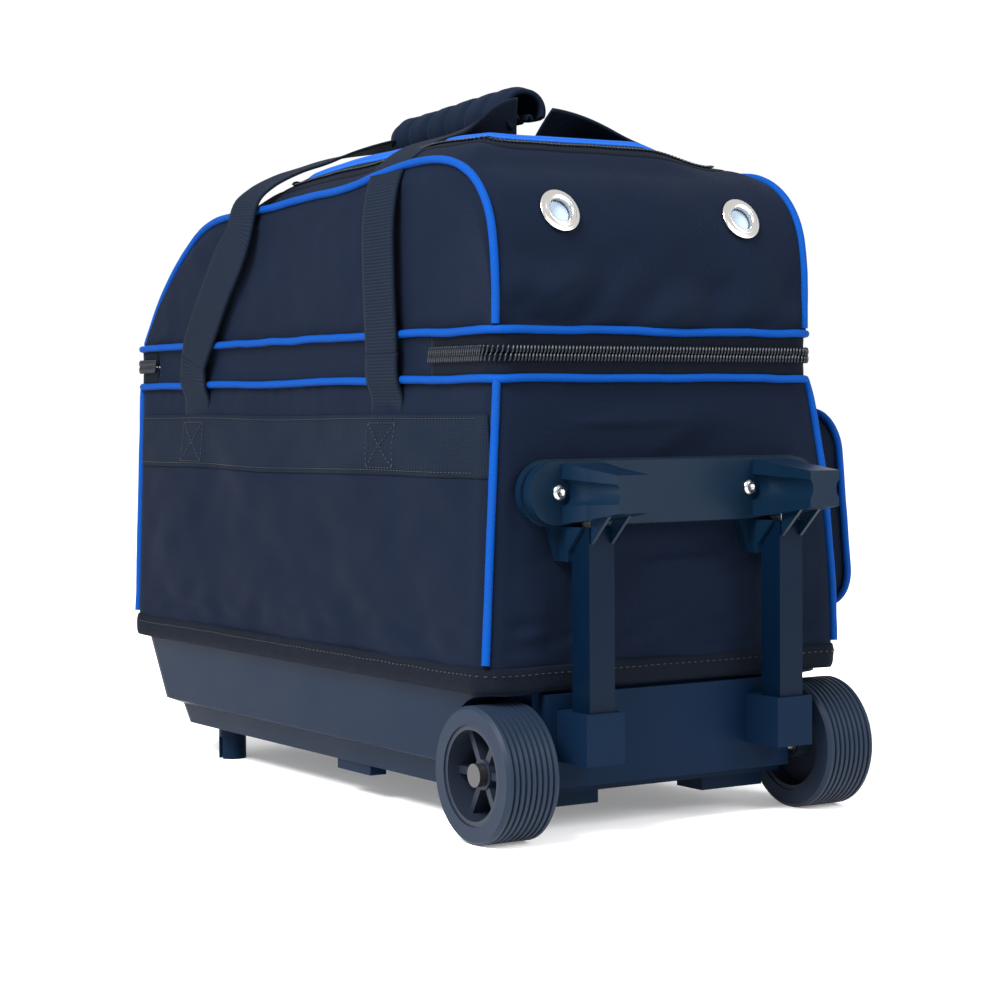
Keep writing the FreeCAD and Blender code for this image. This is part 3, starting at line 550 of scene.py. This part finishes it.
# %% The straps' legs
BACK_STATIONS = [(122.3, 250, 0.0), (122.6, 264, 0.02), (126.6, 276, 0.05), (126.9, 299, 0.12),
                 (128.0, 345, 0.6), (127.6, 375, 0.95), (122.5, 399, 1.03), (111, 411, 1.15),
                 (92, 421.5, 1.35), (74, 428, 1.5), (47, 437, 1.75), (7, 447, 2.0)]
FRONT_STATIONS = BACK_STATIONS[:6] + [(123, 399, 1.03), (110, 416, 1.15), (88, 427, 1.4), (60, 438, 1.6),
                                      (38, 443, 1.8), (8, 446, 2.0)]


def leg_line(x_low, x_edge, x_top, sign, z0, rise=0.0):
    """The line of one leg from height z0 to the wrap, as points in millimetres. rise lifts its top part."""
    points = []
    for y, z, t in BACK_STATIONS if sign > 0 else FRONT_STATIONS:
        x = x_low + (x_edge - x_low) * min(t, 1) + (x_top - x_edge) * max(t - 1, 0)
        points.append((x, sign * y, z + rise * ease((z - 385) / 25)))
    return [p for p in smooth_line(points, 220)[0] if p.z >= z0 - 0.01]


def strap_piece(name, line, sign, turn, nodes=(), top_z=1e9):
    """One stretch of strap. turn is how far, in degrees, it tips towards the wheel end by the time it
    reaches the wrap."""
    pts = [p for p in line if p.z <= top_z]
    length = sum((b - a).length for a, b in zip(pts, pts[1:]))

    def place(u, v):
        c = pick(pts, u)
        run = heading(pts, u)
        across = Vector((1, 0, 0)) - run * run.x
        across.normalize()
        out = across.cross(run) * sign
        tip = math.radians(turn) * ease((70 - abs(c.y)) / 60)
        across, out = (across * math.cos(tip) + out * math.sin(tip),
                       out * math.cos(tip) - across * math.sin(tip))
        half = 19.0 - 5.5 * ease((c.z - 426) / 14)
        cup = 1.2 * (2 * v - 1) ** 2 * rough(c.x, c.y, c.z, 55.0)
        return at(*(c + across * half * (2 * v - 1) + out * cup))

    piece = panel(name, (max(8, int(length / 3)), 12), (length, 38), place, webbing, thick=1.9)
    if nodes:
        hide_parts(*nodes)
    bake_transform(piece)
    return piece


for k, (x_low, x_edge, x_top) in enumerate(LEG_X):
    back = leg_line(x_low, x_edge, x_top, 1, 250, (0.0, 2.5)[k])
    first = ("strap_feet_back",) if k == 0 else ()
    strap_piece("back_leg_low_%d" % (k + 1), back, 1, 0, first, top_z=292)
    upper = [p for p in back if p.z >= 290.5]
    nodes = ("strap_back",) if k == 0 else ()
    strap_piece("back_leg_%d" % (k + 1), upper, 1, (14, 70)[k], nodes)
    front = leg_line(x_low, x_edge + 8, x_top - 11, -1, 258)
    nodes = ("strap_front", "strap_feet_front") if k == 0 else ()
    strap_piece("front_leg_%d" % (k + 1), front, -1, 40, nodes)


# %% [markdown]
# ## The carrying wrap
# A quilted pad folded round the straps' run, open towards the front strap. Each sewn channel puffs up
# between its stitch lines, which pull the cloth down to the lining. The cross-section is most of a ring.

# %% Quilted wrap and the straps' folded run
WRAP_X = (-104.0, 48.0)
CHANNELS = 6


def wrap_place(u, v):
    x = WRAP_X[1] + u * (WRAP_X[0] - WRAP_X[1])
    to_seam = abs((u * CHANNELS + 0.5) % 1 - 0.5) * (WRAP_X[1] - WRAP_X[0]) / CHANNELS
    puff = 1 - math.exp(-(to_seam / 2.6) ** 1.3)
    ends = min(1.0, u * 18, (1 - u) * 18)
    r = (13.6 + 2.8 * ease(u)) + 2.6 * puff * ends + 0.8 * rough(x, v * 60, 0, 15.0)
    a = math.radians(-48 + 236 * v)
    lip = 1 - 0.10 * (2 * v - 1) ** 6
    zc = 447.5 + 4.0 * ease(u)
    return at(x, r * lip * math.cos(a) * 1.05 + 0.5, zc + r * lip * math.sin(a))


wrap = panel("quilted_wrap", (150, 44), (152, 75), wrap_place, quilt, thick=3.2)
done(wrap, "back_strap", "wrap_fabric", "grip_wrap")


def run_place(sign):
    def place(u, v):
        x = 46 - u * 146
        a = math.radians(20 + 140 * v)
        droop = 2.5 * math.sin(math.pi * u)
        swell = 0.9 + 0.1 * math.sin(9 * u)
        return at(x, sign * (5.5 + 3.2 * math.cos(a)), 446 + 0.5 * droop + 6.5 * math.sin(a) * swell)
    return place


for sign, owner in ((1, "back_strap"), (-1, "front_strap")):
    piece = panel("strap_run_" + owner, (60, 12), (146, 22), run_place(sign), webbing, thick=1.6)
    done(piece, owner, "webbing")


# %% [markdown]
# ## The zipper between the pipings
# Two tapes carry a spiral coil. On the hinged side there is no coil: one plain strip of cloth joins the
# body and the lid, and on the bag it bends when the lid opens.

# %% Zipper tapes, hinge panel and coil
PANEL_FROM, PANEL_TO = 215.0, -179.0


hinge_s = [((HALF_L - CORNER_R - PANEL_FROM) / whole), ((HALF_L - CORNER_R - PANEL_TO) / whole)]


def tape_place(z0, z1, s0, s1, dip):
    def place(u, v):
        z = z0 + v * (z1 - z0)
        p, n, side, fill = body_ring(s0 + u * (s1 - s0), z)
        mid = math.sin(math.pi * (z - 276) / 26)
        return at(*(p + n * (0.8 - dip * mid + 0.25 * rough(p.x, p.y, z, 14.0))))
    return place


low_tape = panel("zip_tape_low", (300, 6), (1020, 13),
                 tape_place(276, 288.9, hinge_s[1], 1 + hinge_s[0], 0.4), tape, thick=0.9)
done(low_tape, "bag", "bag_fabric", "zip_band_lower")
high_tape = panel("zip_tape_high", (300, 6), (1020, 13),
                  tape_place(290.1, 302, hinge_s[1], 1 + hinge_s[0], 0.4), tape, thick=0.9)
done(high_tape, "lid", "bag_fabric", "zip_band_upper")
hinge_panel = panel("hinge_panel", (160, 12), (394, 26),
                    tape_place(276, 302, hinge_s[0], hinge_s[1], 1.6), cloth, thick=1.0)
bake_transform(hinge_panel)

PITCH = 2.5
rows = {"low": [], "high": []}
count = int((1 - (hinge_s[1] - hinge_s[0])) * whole / PITCH)
for k in range(count):
    s = hinge_s[1] + (k + 0.5) / count * (1 - (hinge_s[1] - hinge_s[0]))
    for name, dz, shift in (("low", -2.3, 0.0), ("high", 2.3, 0.5)):
        p, n, side, fill = body_ring(s + shift * PITCH / whole, 289.5)
        q = body_ring(s + (shift + 0.35) * PITCH / whole, 289.5)[0]
        lean = (q - p).normalized() * 0.25
        rows[name].append((p + n * 2.7 + Vector((0, 0, dz)), Vector((lean.x, lean.y, 1)), n))
done(beads("zip_coil_low", rows["low"], (6.0, 1.55, 2.6), coil_mat, 2), "bag", "zip_tape", "zip_coil_lower")
done(beads("zip_coil_high", rows["high"], (6.0, 1.55, 2.6), coil_mat, 2), "lid", "zip_tape", "zip_coil_upper")
print(count, "coil turns on each side")


# %% [markdown]
# ## The lid
# A long gusset runs up the wheel end, over the top and down the far end. Two side panels close it. The
# gusset's line is a smooth curve, steep at the wheel end and falling away gently to the far end. The
# cloth is padded and unfilled, so it creases low on the end and near the piping.

# %% The lid's line and its gusset
LID_POINTS = [(-250.8, 300), (-251.2, 322), (-250.4, 346), (-246, 370), (-234, 390), (-213, 404.5),
              (-180, 411.5), (-90, 413), (0, 411), (85, 402), (150, 386), (203, 352),
              (232, 322), (247, 303), (248.5, 300)]
lid_line, lid_length = smooth_line([(x, 0, z) for x, z in LID_POINTS], 400)
SEAM_Y = 116.5
eye_low, eye_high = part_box("lid_grommets")
eye_spot = ((eye_low + eye_high) / 2 - middle) / MM
eye_y = (eye_high.y - eye_low.y) / 2 / MM - 14


def lid_dip(y):
    a = max(0.0, (abs(y) - 96) / (SEAM_Y - 96))
    return 3.4 * a * a


def sink(x, y):
    """The straps draw the hinged side's long seam down below the lid's middle line."""
    along = ease((x + 170) / 120) * ease((150 - x) / 130)
    return 11.0 * along * ease((y - 62) / (SEAM_Y - 62))


def lid_creases(x, y, z):
    low = math.exp(-((z - 322) / 24) ** 2)
    fold = 13.0 * low * rough(x * 0.4, y * 0.8 + 0.7 * z, z * 1.1, 32.0)
    broad = 2.6 * rough(x, y + 0.4 * z, z, 60.0) + 1.2 * rough(x, y, z, 24.0)
    near_seam = math.exp(-(SEAM_Y - abs(y)) / 9)
    pucker = 0.8 * near_seam * rough(x, y * 0.3, z, 8.5)
    eye = min((abs(y) - eye_y) ** 2 + (x - eye_spot.x) ** 2 + (z - eye_spot.z) ** 2, 4e4)
    return (fold + broad + pucker) * (1 - 0.95 * math.exp(-eye / 420))


def crown(x, y):
    """How far the top stands above its seams: it climbs to the taped opening and over the flap."""
    inside = min(x + 195, 60 - x, 94 - abs(y))
    steps = 9.0 * ease((inside + 26) / 26) + 6.0 * ease((inside + 3) / 22) + 3.0 * ease((inside - 20) / 60)
    low_front = 1 - 0.9 * ease((-y - 30) / 50)
    return steps * low_front


def on_gusset(u, y, out=0.0):
    c = pick(lid_line, u)
    run = heading(lid_line, u)
    n = Vector((-run.z, 0, run.x))
    top = ease((c.z - 380) / 22)
    held = min(1.0, (SEAM_Y - abs(y)) / 14, (c.z - 300) / 10)
    end = 1 - 0.7 * top
    off = crown(c.x, y) * top - sink(c.x, y) * top - lid_dip(y)
    off = off + max(0.0, held) * end * lid_creases(c.x, y, c.z) + out
    return Vector((c.x, y, c.z)) + n * off, n


def gusset_place(u, v):
    y = (2 * v - 1) * SEAM_Y
    return at(*on_gusset(u, y)[0])


HOLE_R = 10.0


def cut_holes(piece, centres, axis, radius):
    bm = bmesh.new()
    bm.from_mesh(piece.data)
    gone = []
    for face in bm.faces:
        c = face.calc_center_median()
        for centre in centres:
            d = c - centre
            if (d - axis * d.dot(axis)).length < radius * MM and d.length < 0.03:
                gone.append(face)
                break
    bmesh.ops.delete(bm, geom=gone, context="FACES")
    bm.to_mesh(piece.data)
    bm.free()


gusset = panel("lid_gusset", (300, 110), (lid_length, 2 * SEAM_Y), gusset_place, cloth, thick=2.0)
done(gusset, "lid", "bag_fabric", "lid_shell", "lid_top_flap")


# %% [markdown]
# ## Eyelets and screw heads
# Turned and rolled metal parts are a profile spun once round its axis. The eyelet has a flat flange and a
# rolled lip. A pale disc behind it is painted light: it stands in for the brightness seen in the hole.

# %% Spun parts
def turned(name, profile, centre, axis, mat, steps=48):
    """profile is (radius, height) in millimetres along the axis."""
    bm = bmesh.new()
    points = [bm.verts.new((r * MM, 0, h * MM)) for r, h in profile]
    edges = [bm.edges.new(pair) for pair in zip(points, points[1:])]
    bmesh.ops.spin(bm, geom=points + edges, cent=(0, 0, 0), axis=(0, 0, 1), angle=2 * math.pi, steps=steps,
                   use_merge=True)
    bmesh.ops.remove_doubles(bm, verts=bm.verts, dist=0.00002)
    turn = axis.to_track_quat("Z", "Y").to_matrix().to_4x4()
    bmesh.ops.transform(bm, matrix=Matrix.Translation(centre) @ turn, verts=bm.verts)
    return add_object(name, bm, mat)


EYELET = [(7.7, -3.5), (7.7, 0.6), (8.1, 1.7), (9.3, 2.4), (10.6, 1.9), (11.3, 1.1), (12.6, 1.0), (13.7, 0.7),
          (14.0, 0.0), (13.4, -0.5), (9.2, -0.5), (8.6, -3.5), (7.7, -3.5)]
eye_mid = Vector((eye_spot.x, 0, eye_spot.z))
eye_u = min(range(401), key=lambda k: (pick(lid_line, k / 400) - eye_mid).length) / 400
eyes = []
for k, s in enumerate((1, -1)):
    spot, n = on_gusset(eye_u, s * eye_y)
    rise = on_gusset(eye_u + 0.01, s * eye_y)[0] - on_gusset(eye_u - 0.01, s * eye_y)[0]
    level = on_gusset(eye_u, s * eye_y + 5)[0] - on_gusset(eye_u, s * eye_y - 5)[0]
    axis = rise.cross(level).normalized()
    axis = axis if axis.dot(n) > 0 else -axis
    eyes.append((at(*spot), axis))
    nodes = ("lid_grommets",) if k == 0 else ()
    eyelet = turned("eyelet_%d" % (k + 1), EYELET, at(*(spot + axis * 0.6)), axis, nickel)
    done(eyelet, "lid", "nickel", *nodes)
    # The pale disc inside the eyelet is painted light in the hole.
    painted_light_disc = turned("eyelet_gauze_%d" % (k + 1), [(7.69, -2.4), (0.0, -2.4)], at(*spot), axis, hole_brightness, 32)
    done(painted_light_disc, "lid", "bag_fabric")
for centre, axis in eyes:
    cut_holes(gusset, [centre], axis, HOLE_R)

screw_low, screw_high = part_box("grip_screws")
HEAD = [(0.0, 0.6), (1.5, 0.6), (1.9, 2.0), (2.6, 2.3), (4.0, 1.7), (4.7, 0.7), (4.8, 0.0), (0.0, 0.0)]
screw_y = [screw_low.y + 0.0045, screw_high.y - 0.0045]
gap = 0.0352
for k, y in enumerate((screw_y[0], screw_y[0] + gap, screw_y[1] - gap, screw_y[1])):
    centre = Vector((screw_low.x + 0.0019, y, (screw_low.z + screw_high.z) / 2))
    nodes = ("grip_screws",) if k == 0 else ()
    head = turned("screw_head_%d" % (k + 1), HEAD, centre, Vector((-1, 0, 0)), steel)
    done(head, "pull_grip", "steel", *nodes)


# %% The lid's side panels and their piping
INSET = 3.3


def side_edge(sign):
    """The line of one long seam, a little inside the gusset's own line."""
    edge = []
    for k in range(201):
        c = pick(lid_line, k / 200)
        run = heading(lid_line, k / 200)
        drop = INSET + sink(c.x, sign * SEAM_Y) * ease((c.z - 380) / 22)
        edge.append(c - Vector((-run.z, 0, run.x)) * drop)
    return [p for p in edge if p.z > 303.5]


side_edges = {sign: side_edge(sign) for sign in (1, -1)}


def lid_side_place(sign):
    def place(u, v):
        edge = pick(side_edges[sign], u)
        foot_x = -247.0 + 494.0 * u
        foot = Vector((foot_x, 0, 303.0))
        lean = v ** 0.9
        p = foot.lerp(edge, lean)
        rim = min(1.0, 5 * v, 6 * (1 - v), 9 * u, 9 * (1 - u))
        rim = ease(max(0.0, rim))
        broad = (1.7 * rough(p.x + 0.6 * p.z, 40 * sign, p.z * 1.4, 58.0)
                 + 0.9 * rough(p.x, 30 * sign, p.z * 1.2, 25.0))
        pucker = 0.8 * (1 - rim) * rough(p.x * 0.8, 10 * sign, p.z * 0.8, 9.0)
        out = rim * (1.0 + broad) + pucker * 0.6
        y = 119.6 - 2.6 * ease((v - 0.86) / 0.14) + max(-2.5, min(2.6, out))
        return at(p.x, sign * y, p.z)
    return place


for sign, word in ((1, "back"), (-1, "front")):
    side = panel("lid_side_" + word, (220, 60), (495, 112), lid_side_place(sign), cloth)
    done(side, "lid", "bag_fabric")
    points = []
    for i, p in enumerate(side_edges[sign]):
        if i % 4 and i not in (0, len(side_edges[sign]) - 1):
            continue
        wobble = 0.5 * rough(p.x, sign * 30, p.z, 28.0)
        points.append((p.x, sign * (SEAM_Y + 1.2 + wobble * 0.5), p.z + 0.6 + wobble))
    made = cord("lid_piping_" + word, points, piping, count=320, level=(0, 1, 0))
    done(made, "lid", "piping", "lid_piping_" + word)


# %% [markdown]
# ## The top opening
# A zipper goes round the shoe compartment's flap, with a ribbed bright tape sewn inside it. Both lie on
# the gusset, so each is a strip that follows a rounded rectangle on the gusset's surface.

# %% Zipper and ribbed tape on top
def u_at_x(x):
    best, found = 1e9, 0.0
    for k, p in enumerate(lid_line):
        if p.z > 330 and abs(p.x - x) < best:
            best, found = abs(p.x - x), k / (len(lid_line) - 1)
    return found


U_TABLE = [(x, u_at_x(x)) for x in range(-240, 200, 4)]


def on_top(x, y, out):
    k = min(max((x + 240) / 4, 0), len(U_TABLE) - 1.001)
    i = int(k)
    u = U_TABLE[i][1] + (U_TABLE[i + 1][1] - U_TABLE[i][1]) * (k - i)
    return on_gusset(u, y, out)


def top_strip(inner, outer, lift, hump):
    def place(u, v):
        grow = inner + (outer - inner) * v
        p, n, side, fill = ring(127.5 + grow, 127.5 + grow, 94 + grow, 22 + grow, u)
        spot, up = on_top(p.x - 67.5, p.y, lift + hump * (1 - (2 * v - 1) ** 2))
        return at(*spot)
    return place


top_zip = panel("top_zip_tape", (300, 6), (660, 17), top_strip(-8.5, 8.5, 0.3, 0.5), tape, thick=0.7,
                weld=True)
done(top_zip, "lid", "zip_tape", "lid_top_zip")
top_trim = panel("top_blue_tape", (300, 10), (600, 15), top_strip(-25, -9, 0.4, 1.2), trim, thick=0.8,
                 weld=True)
done(top_trim, "lid", "bright_trim", "lid_trim")
coil_spots = []
for k in range(300):
    p, n, side, fill = ring(127.5, 127.5, 94, 22, k / 300)
    q = ring(127.5, 127.5, 94, 22, (k + 0.3) / 300)[0]
    spot, up = on_top(p.x - 67.5, p.y, 1.6)
    coil_spots.append((spot, n + (q - p) * 0.1, up))
done(beads("top_zip_coil", coil_spots, (6.2, 1.5, 2.0), coil_mat, 1), "lid", "zip_tape")


# %% [markdown]
# ## The front pocket
# A shallow padded box with a piped outer edge. Its wall is carried round a rounded outline and then
# drawn in to the middle of its face, so the face stays full and a little slack.

# %% Pocket, piping and zipper
pocket_low, pocket_high = ((c - middle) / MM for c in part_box("front_pocket"))
POCKET_MID = ((pocket_low.x + pocket_high.x) / 2, (pocket_low.z + pocket_high.z) / 2)
POCKET_HALF = ((pocket_high.x - pocket_low.x) / 2, (pocket_high.z - pocket_low.z) / 2)


def pocket_front(z):
    """The pocket's face leans: it holds more low down."""
    return pocket_low.y + 4.0 - 6.0 * (POCKET_MID[1] - z) / POCKET_HALF[1]


def pocket_place(u, v):
    wall = min(v / 0.3, 1.0)
    shrink = max(1 - max(0.0, (v - 0.3) / 0.7), 0.002)
    half_l, half_h = POCKET_HALF[0] * shrink, POCKET_HALF[1] * shrink
    p, n, side, fill = ring(half_l, half_l, half_h, 24 * shrink, u)
    x, z = POCKET_MID[0] + p.x, POCKET_MID[1] + p.y
    front = pocket_front(z)
    if shrink > 0.999:
        tuck = 2.2 * math.sin(math.pi * wall) - 0.8 * rough(x, 40 * wall, z, 14.0)
        return at(x - n.x * tuck, -119 + (front + 119) * wall, z - n.y * tuck)
    slack = min(1, 4 * (1 - shrink) * 1.5) * (2.8 * rough(x, 5, z * 1.4, 52.0) + 1.0 * rough(x, 9, z, 22.0))
    return at(x, front - 3.0 * (1 - shrink ** 3) + slack, z)


pocket = panel("pocket_cover", (300, 60), (980, 110), pocket_place, cloth, weld=True)
done(pocket, "bag", "bag_fabric", "front_pocket")


def pocket_cord(u, v):
    out = POCKET_HALF[0] + 1.4, POCKET_HALF[1] + 1.4
    p, n, side, fill = ring(out[0], out[0], out[1], 25.4, u)
    a = v * 2 * math.pi
    z = POCKET_MID[1] + p.y
    c = Vector((POCKET_MID[0] + p.x, pocket_front(z) + 0.8 + 0.5 * rough(p.x, 3, p.y, 20.0), z))
    edge = Vector((n.x, 0, n.y))
    return at(*(c + edge * PIPE_R * math.cos(a) + Vector((0, 1, 0)) * PIPE_R * math.sin(a)))


pocket_edge = panel("pocket_cord", (330, 12), (1050, 16), pocket_cord, piping, weld=True)
done(pocket_edge, "bag", "piping", "pocket_piping")
zip_low, zip_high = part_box("pocket_zip")


def pocket_zip_place(u, v):
    x = zip_low.x + u * (zip_high.x - zip_low.x)
    y = zip_low.y + v * (zip_high.y - zip_low.y)
    return Vector((x, y, zip_high.z - 0.0012 - 0.0006 * (2 * v - 1) ** 2))


pocket_tape = panel("pocket_zip_tape", (160, 6), (320, 14), pocket_zip_place, tape, thick=1.0)
done(pocket_tape, "bag", "zip_tape", "pocket_zip")


# %% [markdown]
# ## Inside the bag
# A cloth-covered floor panel separates the shoes from the balls. Two foam cups and a foam divider keep
# the balls apart. They only show when the lid is open, so they are simple rounded shapes.

# %% Inner panel and foam
def soft_box(name, node_name, mat, slot, owner, edge):
    low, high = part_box(node_name)
    bm = bmesh.new()
    bmesh.ops.create_cube(bm, size=1.0)
    size, centre = high - low, (low + high) / 2
    bmesh.ops.transform(bm, matrix=Matrix.Translation(centre) @ Matrix.Diagonal((*size, 1)), verts=bm.verts)
    bmesh.ops.bevel(bm, geom=bm.edges[:], offset=edge * MM, offset_type="OFFSET", segments=4, profile=0.5,
                    affect="EDGES", material=-1, clamp_overlap=True)
    uv = bm.loops.layers.uv.new("UVMap")
    for face in bm.faces:
        for loop in face.loops:
            loop[uv].uv = (loop.vert.co.x, loop.vert.co.y + loop.vert.co.z)
    return done(add_object(name, bm, mat), owner, slot, node_name)


soft_box("shoe_floor", "lid_floor", cloth, "bag_fabric", "lid", 1.2)
soft_box("divider_foam", "ball_divider", foam, "foam", "bag", 3.0)


def foam_ring(name, node_name):
    low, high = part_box(node_name)
    centre = (low + high) / 2
    outer, inner = (high.x - low.x) / 2, 0.045
    h = (high.z - low.z) / 2

    def place(u, v):
        a = u * 2 * math.pi
        b = v * 2 * math.pi
        r = (outer + inner) / 2 + (outer - inner) / 2 * max(-1, min(1, 1.25 * math.cos(b)))
        z = centre.z + h * max(-1, min(1, 1.25 * math.sin(b)))
        return Vector((centre.x + r * math.cos(a), centre.y + r * math.sin(a), z))

    return done(panel(name, (90, 28), (430, 110), place, foam, weld=True), "bag", "foam", node_name)


foam_ring("cup_foam_wheel_end", "ball_cup_wheel_end")
foam_ring("cup_foam_far_end", "ball_cup_far_end")


# %% [markdown]
# ## Studio
# A white floor with a big soft light from above and the hinged side, a weaker one on the wheel end, and
# a bright surround. The dark cloth needs broad reflections to show its weave and folds.

# %% Floor, light and camera
bm = bmesh.new()
bmesh.ops.create_grid(bm, x_segments=1, y_segments=1, size=60.0)
paper = new_material("studio_paper", (0.93, 0.93, 0.94), 0.9)
paper.node_tree.nodes["Principled BSDF"].inputs["Emission Color"].default_value = (1, 1, 1, 1)
paper.node_tree.nodes["Principled BSDF"].inputs["Emission Strength"].default_value = 0.16
floor = add_object("floor", bm, paper, smooth=False)

world = bpy.data.worlds.new("studio")
bpy.context.scene.world = world
world.use_nodes = True
world.node_tree.nodes["Background"].inputs[0].default_value = (1.0, 1.0, 1.0, 1)
world.node_tree.nodes["Background"].inputs[1].default_value = 0.72


def soft_light(name, spot, target, size, power):
    data = bpy.data.lights.new(name, "AREA")
    data.shape = "SQUARE"
    data.size = size
    data.energy = power
    made = bpy.data.objects.new(name, data)
    made.location = spot
    made.rotation_euler = (Vector(target) - Vector(spot)).to_track_quat("-Z", "Y").to_euler()
    bpy.context.scene.collection.objects.link(made)


soft_light("key_light", (-0.7, 1.6, 1.8), (0, 0, 0.2), 1.1, 120)
soft_light("end_light", (-2.1, -0.9, 1.3), (-0.2, 0, 0.2), 1.0, 36)

AZ, PITCH_DOWN, ROLL = math.radians(237.19), math.radians(2.2), math.radians(-0.352)
aim = Vector((-math.sin(AZ) * math.cos(PITCH_DOWN), math.cos(AZ) * math.cos(PITCH_DOWN),
              -math.sin(PITCH_DOWN)))
right = Vector((math.cos(AZ), math.sin(AZ), 0))
up = right.cross(aim)
right_r = right * math.cos(ROLL) + up * math.sin(ROLL)
up_r = -right * math.sin(ROLL) + up * math.cos(ROLL)
camera_data = bpy.data.cameras.new("camera")
camera_data.lens = 86.99
camera_data.sensor_width = 36.0
camera = bpy.data.objects.new("camera", camera_data)
turn = Matrix((right_r, up_r, -aim)).transposed().to_4x4()
camera.matrix_world = Matrix.Translation(at(-1446.9, 888.3, 257.5)) @ turn
bpy.context.scene.collection.objects.link(camera)
bpy.context.scene.camera = camera
bpy.context.scene.view_settings.view_transform = "Standard"
bpy.context.scene.view_settings.exposure = 0.5
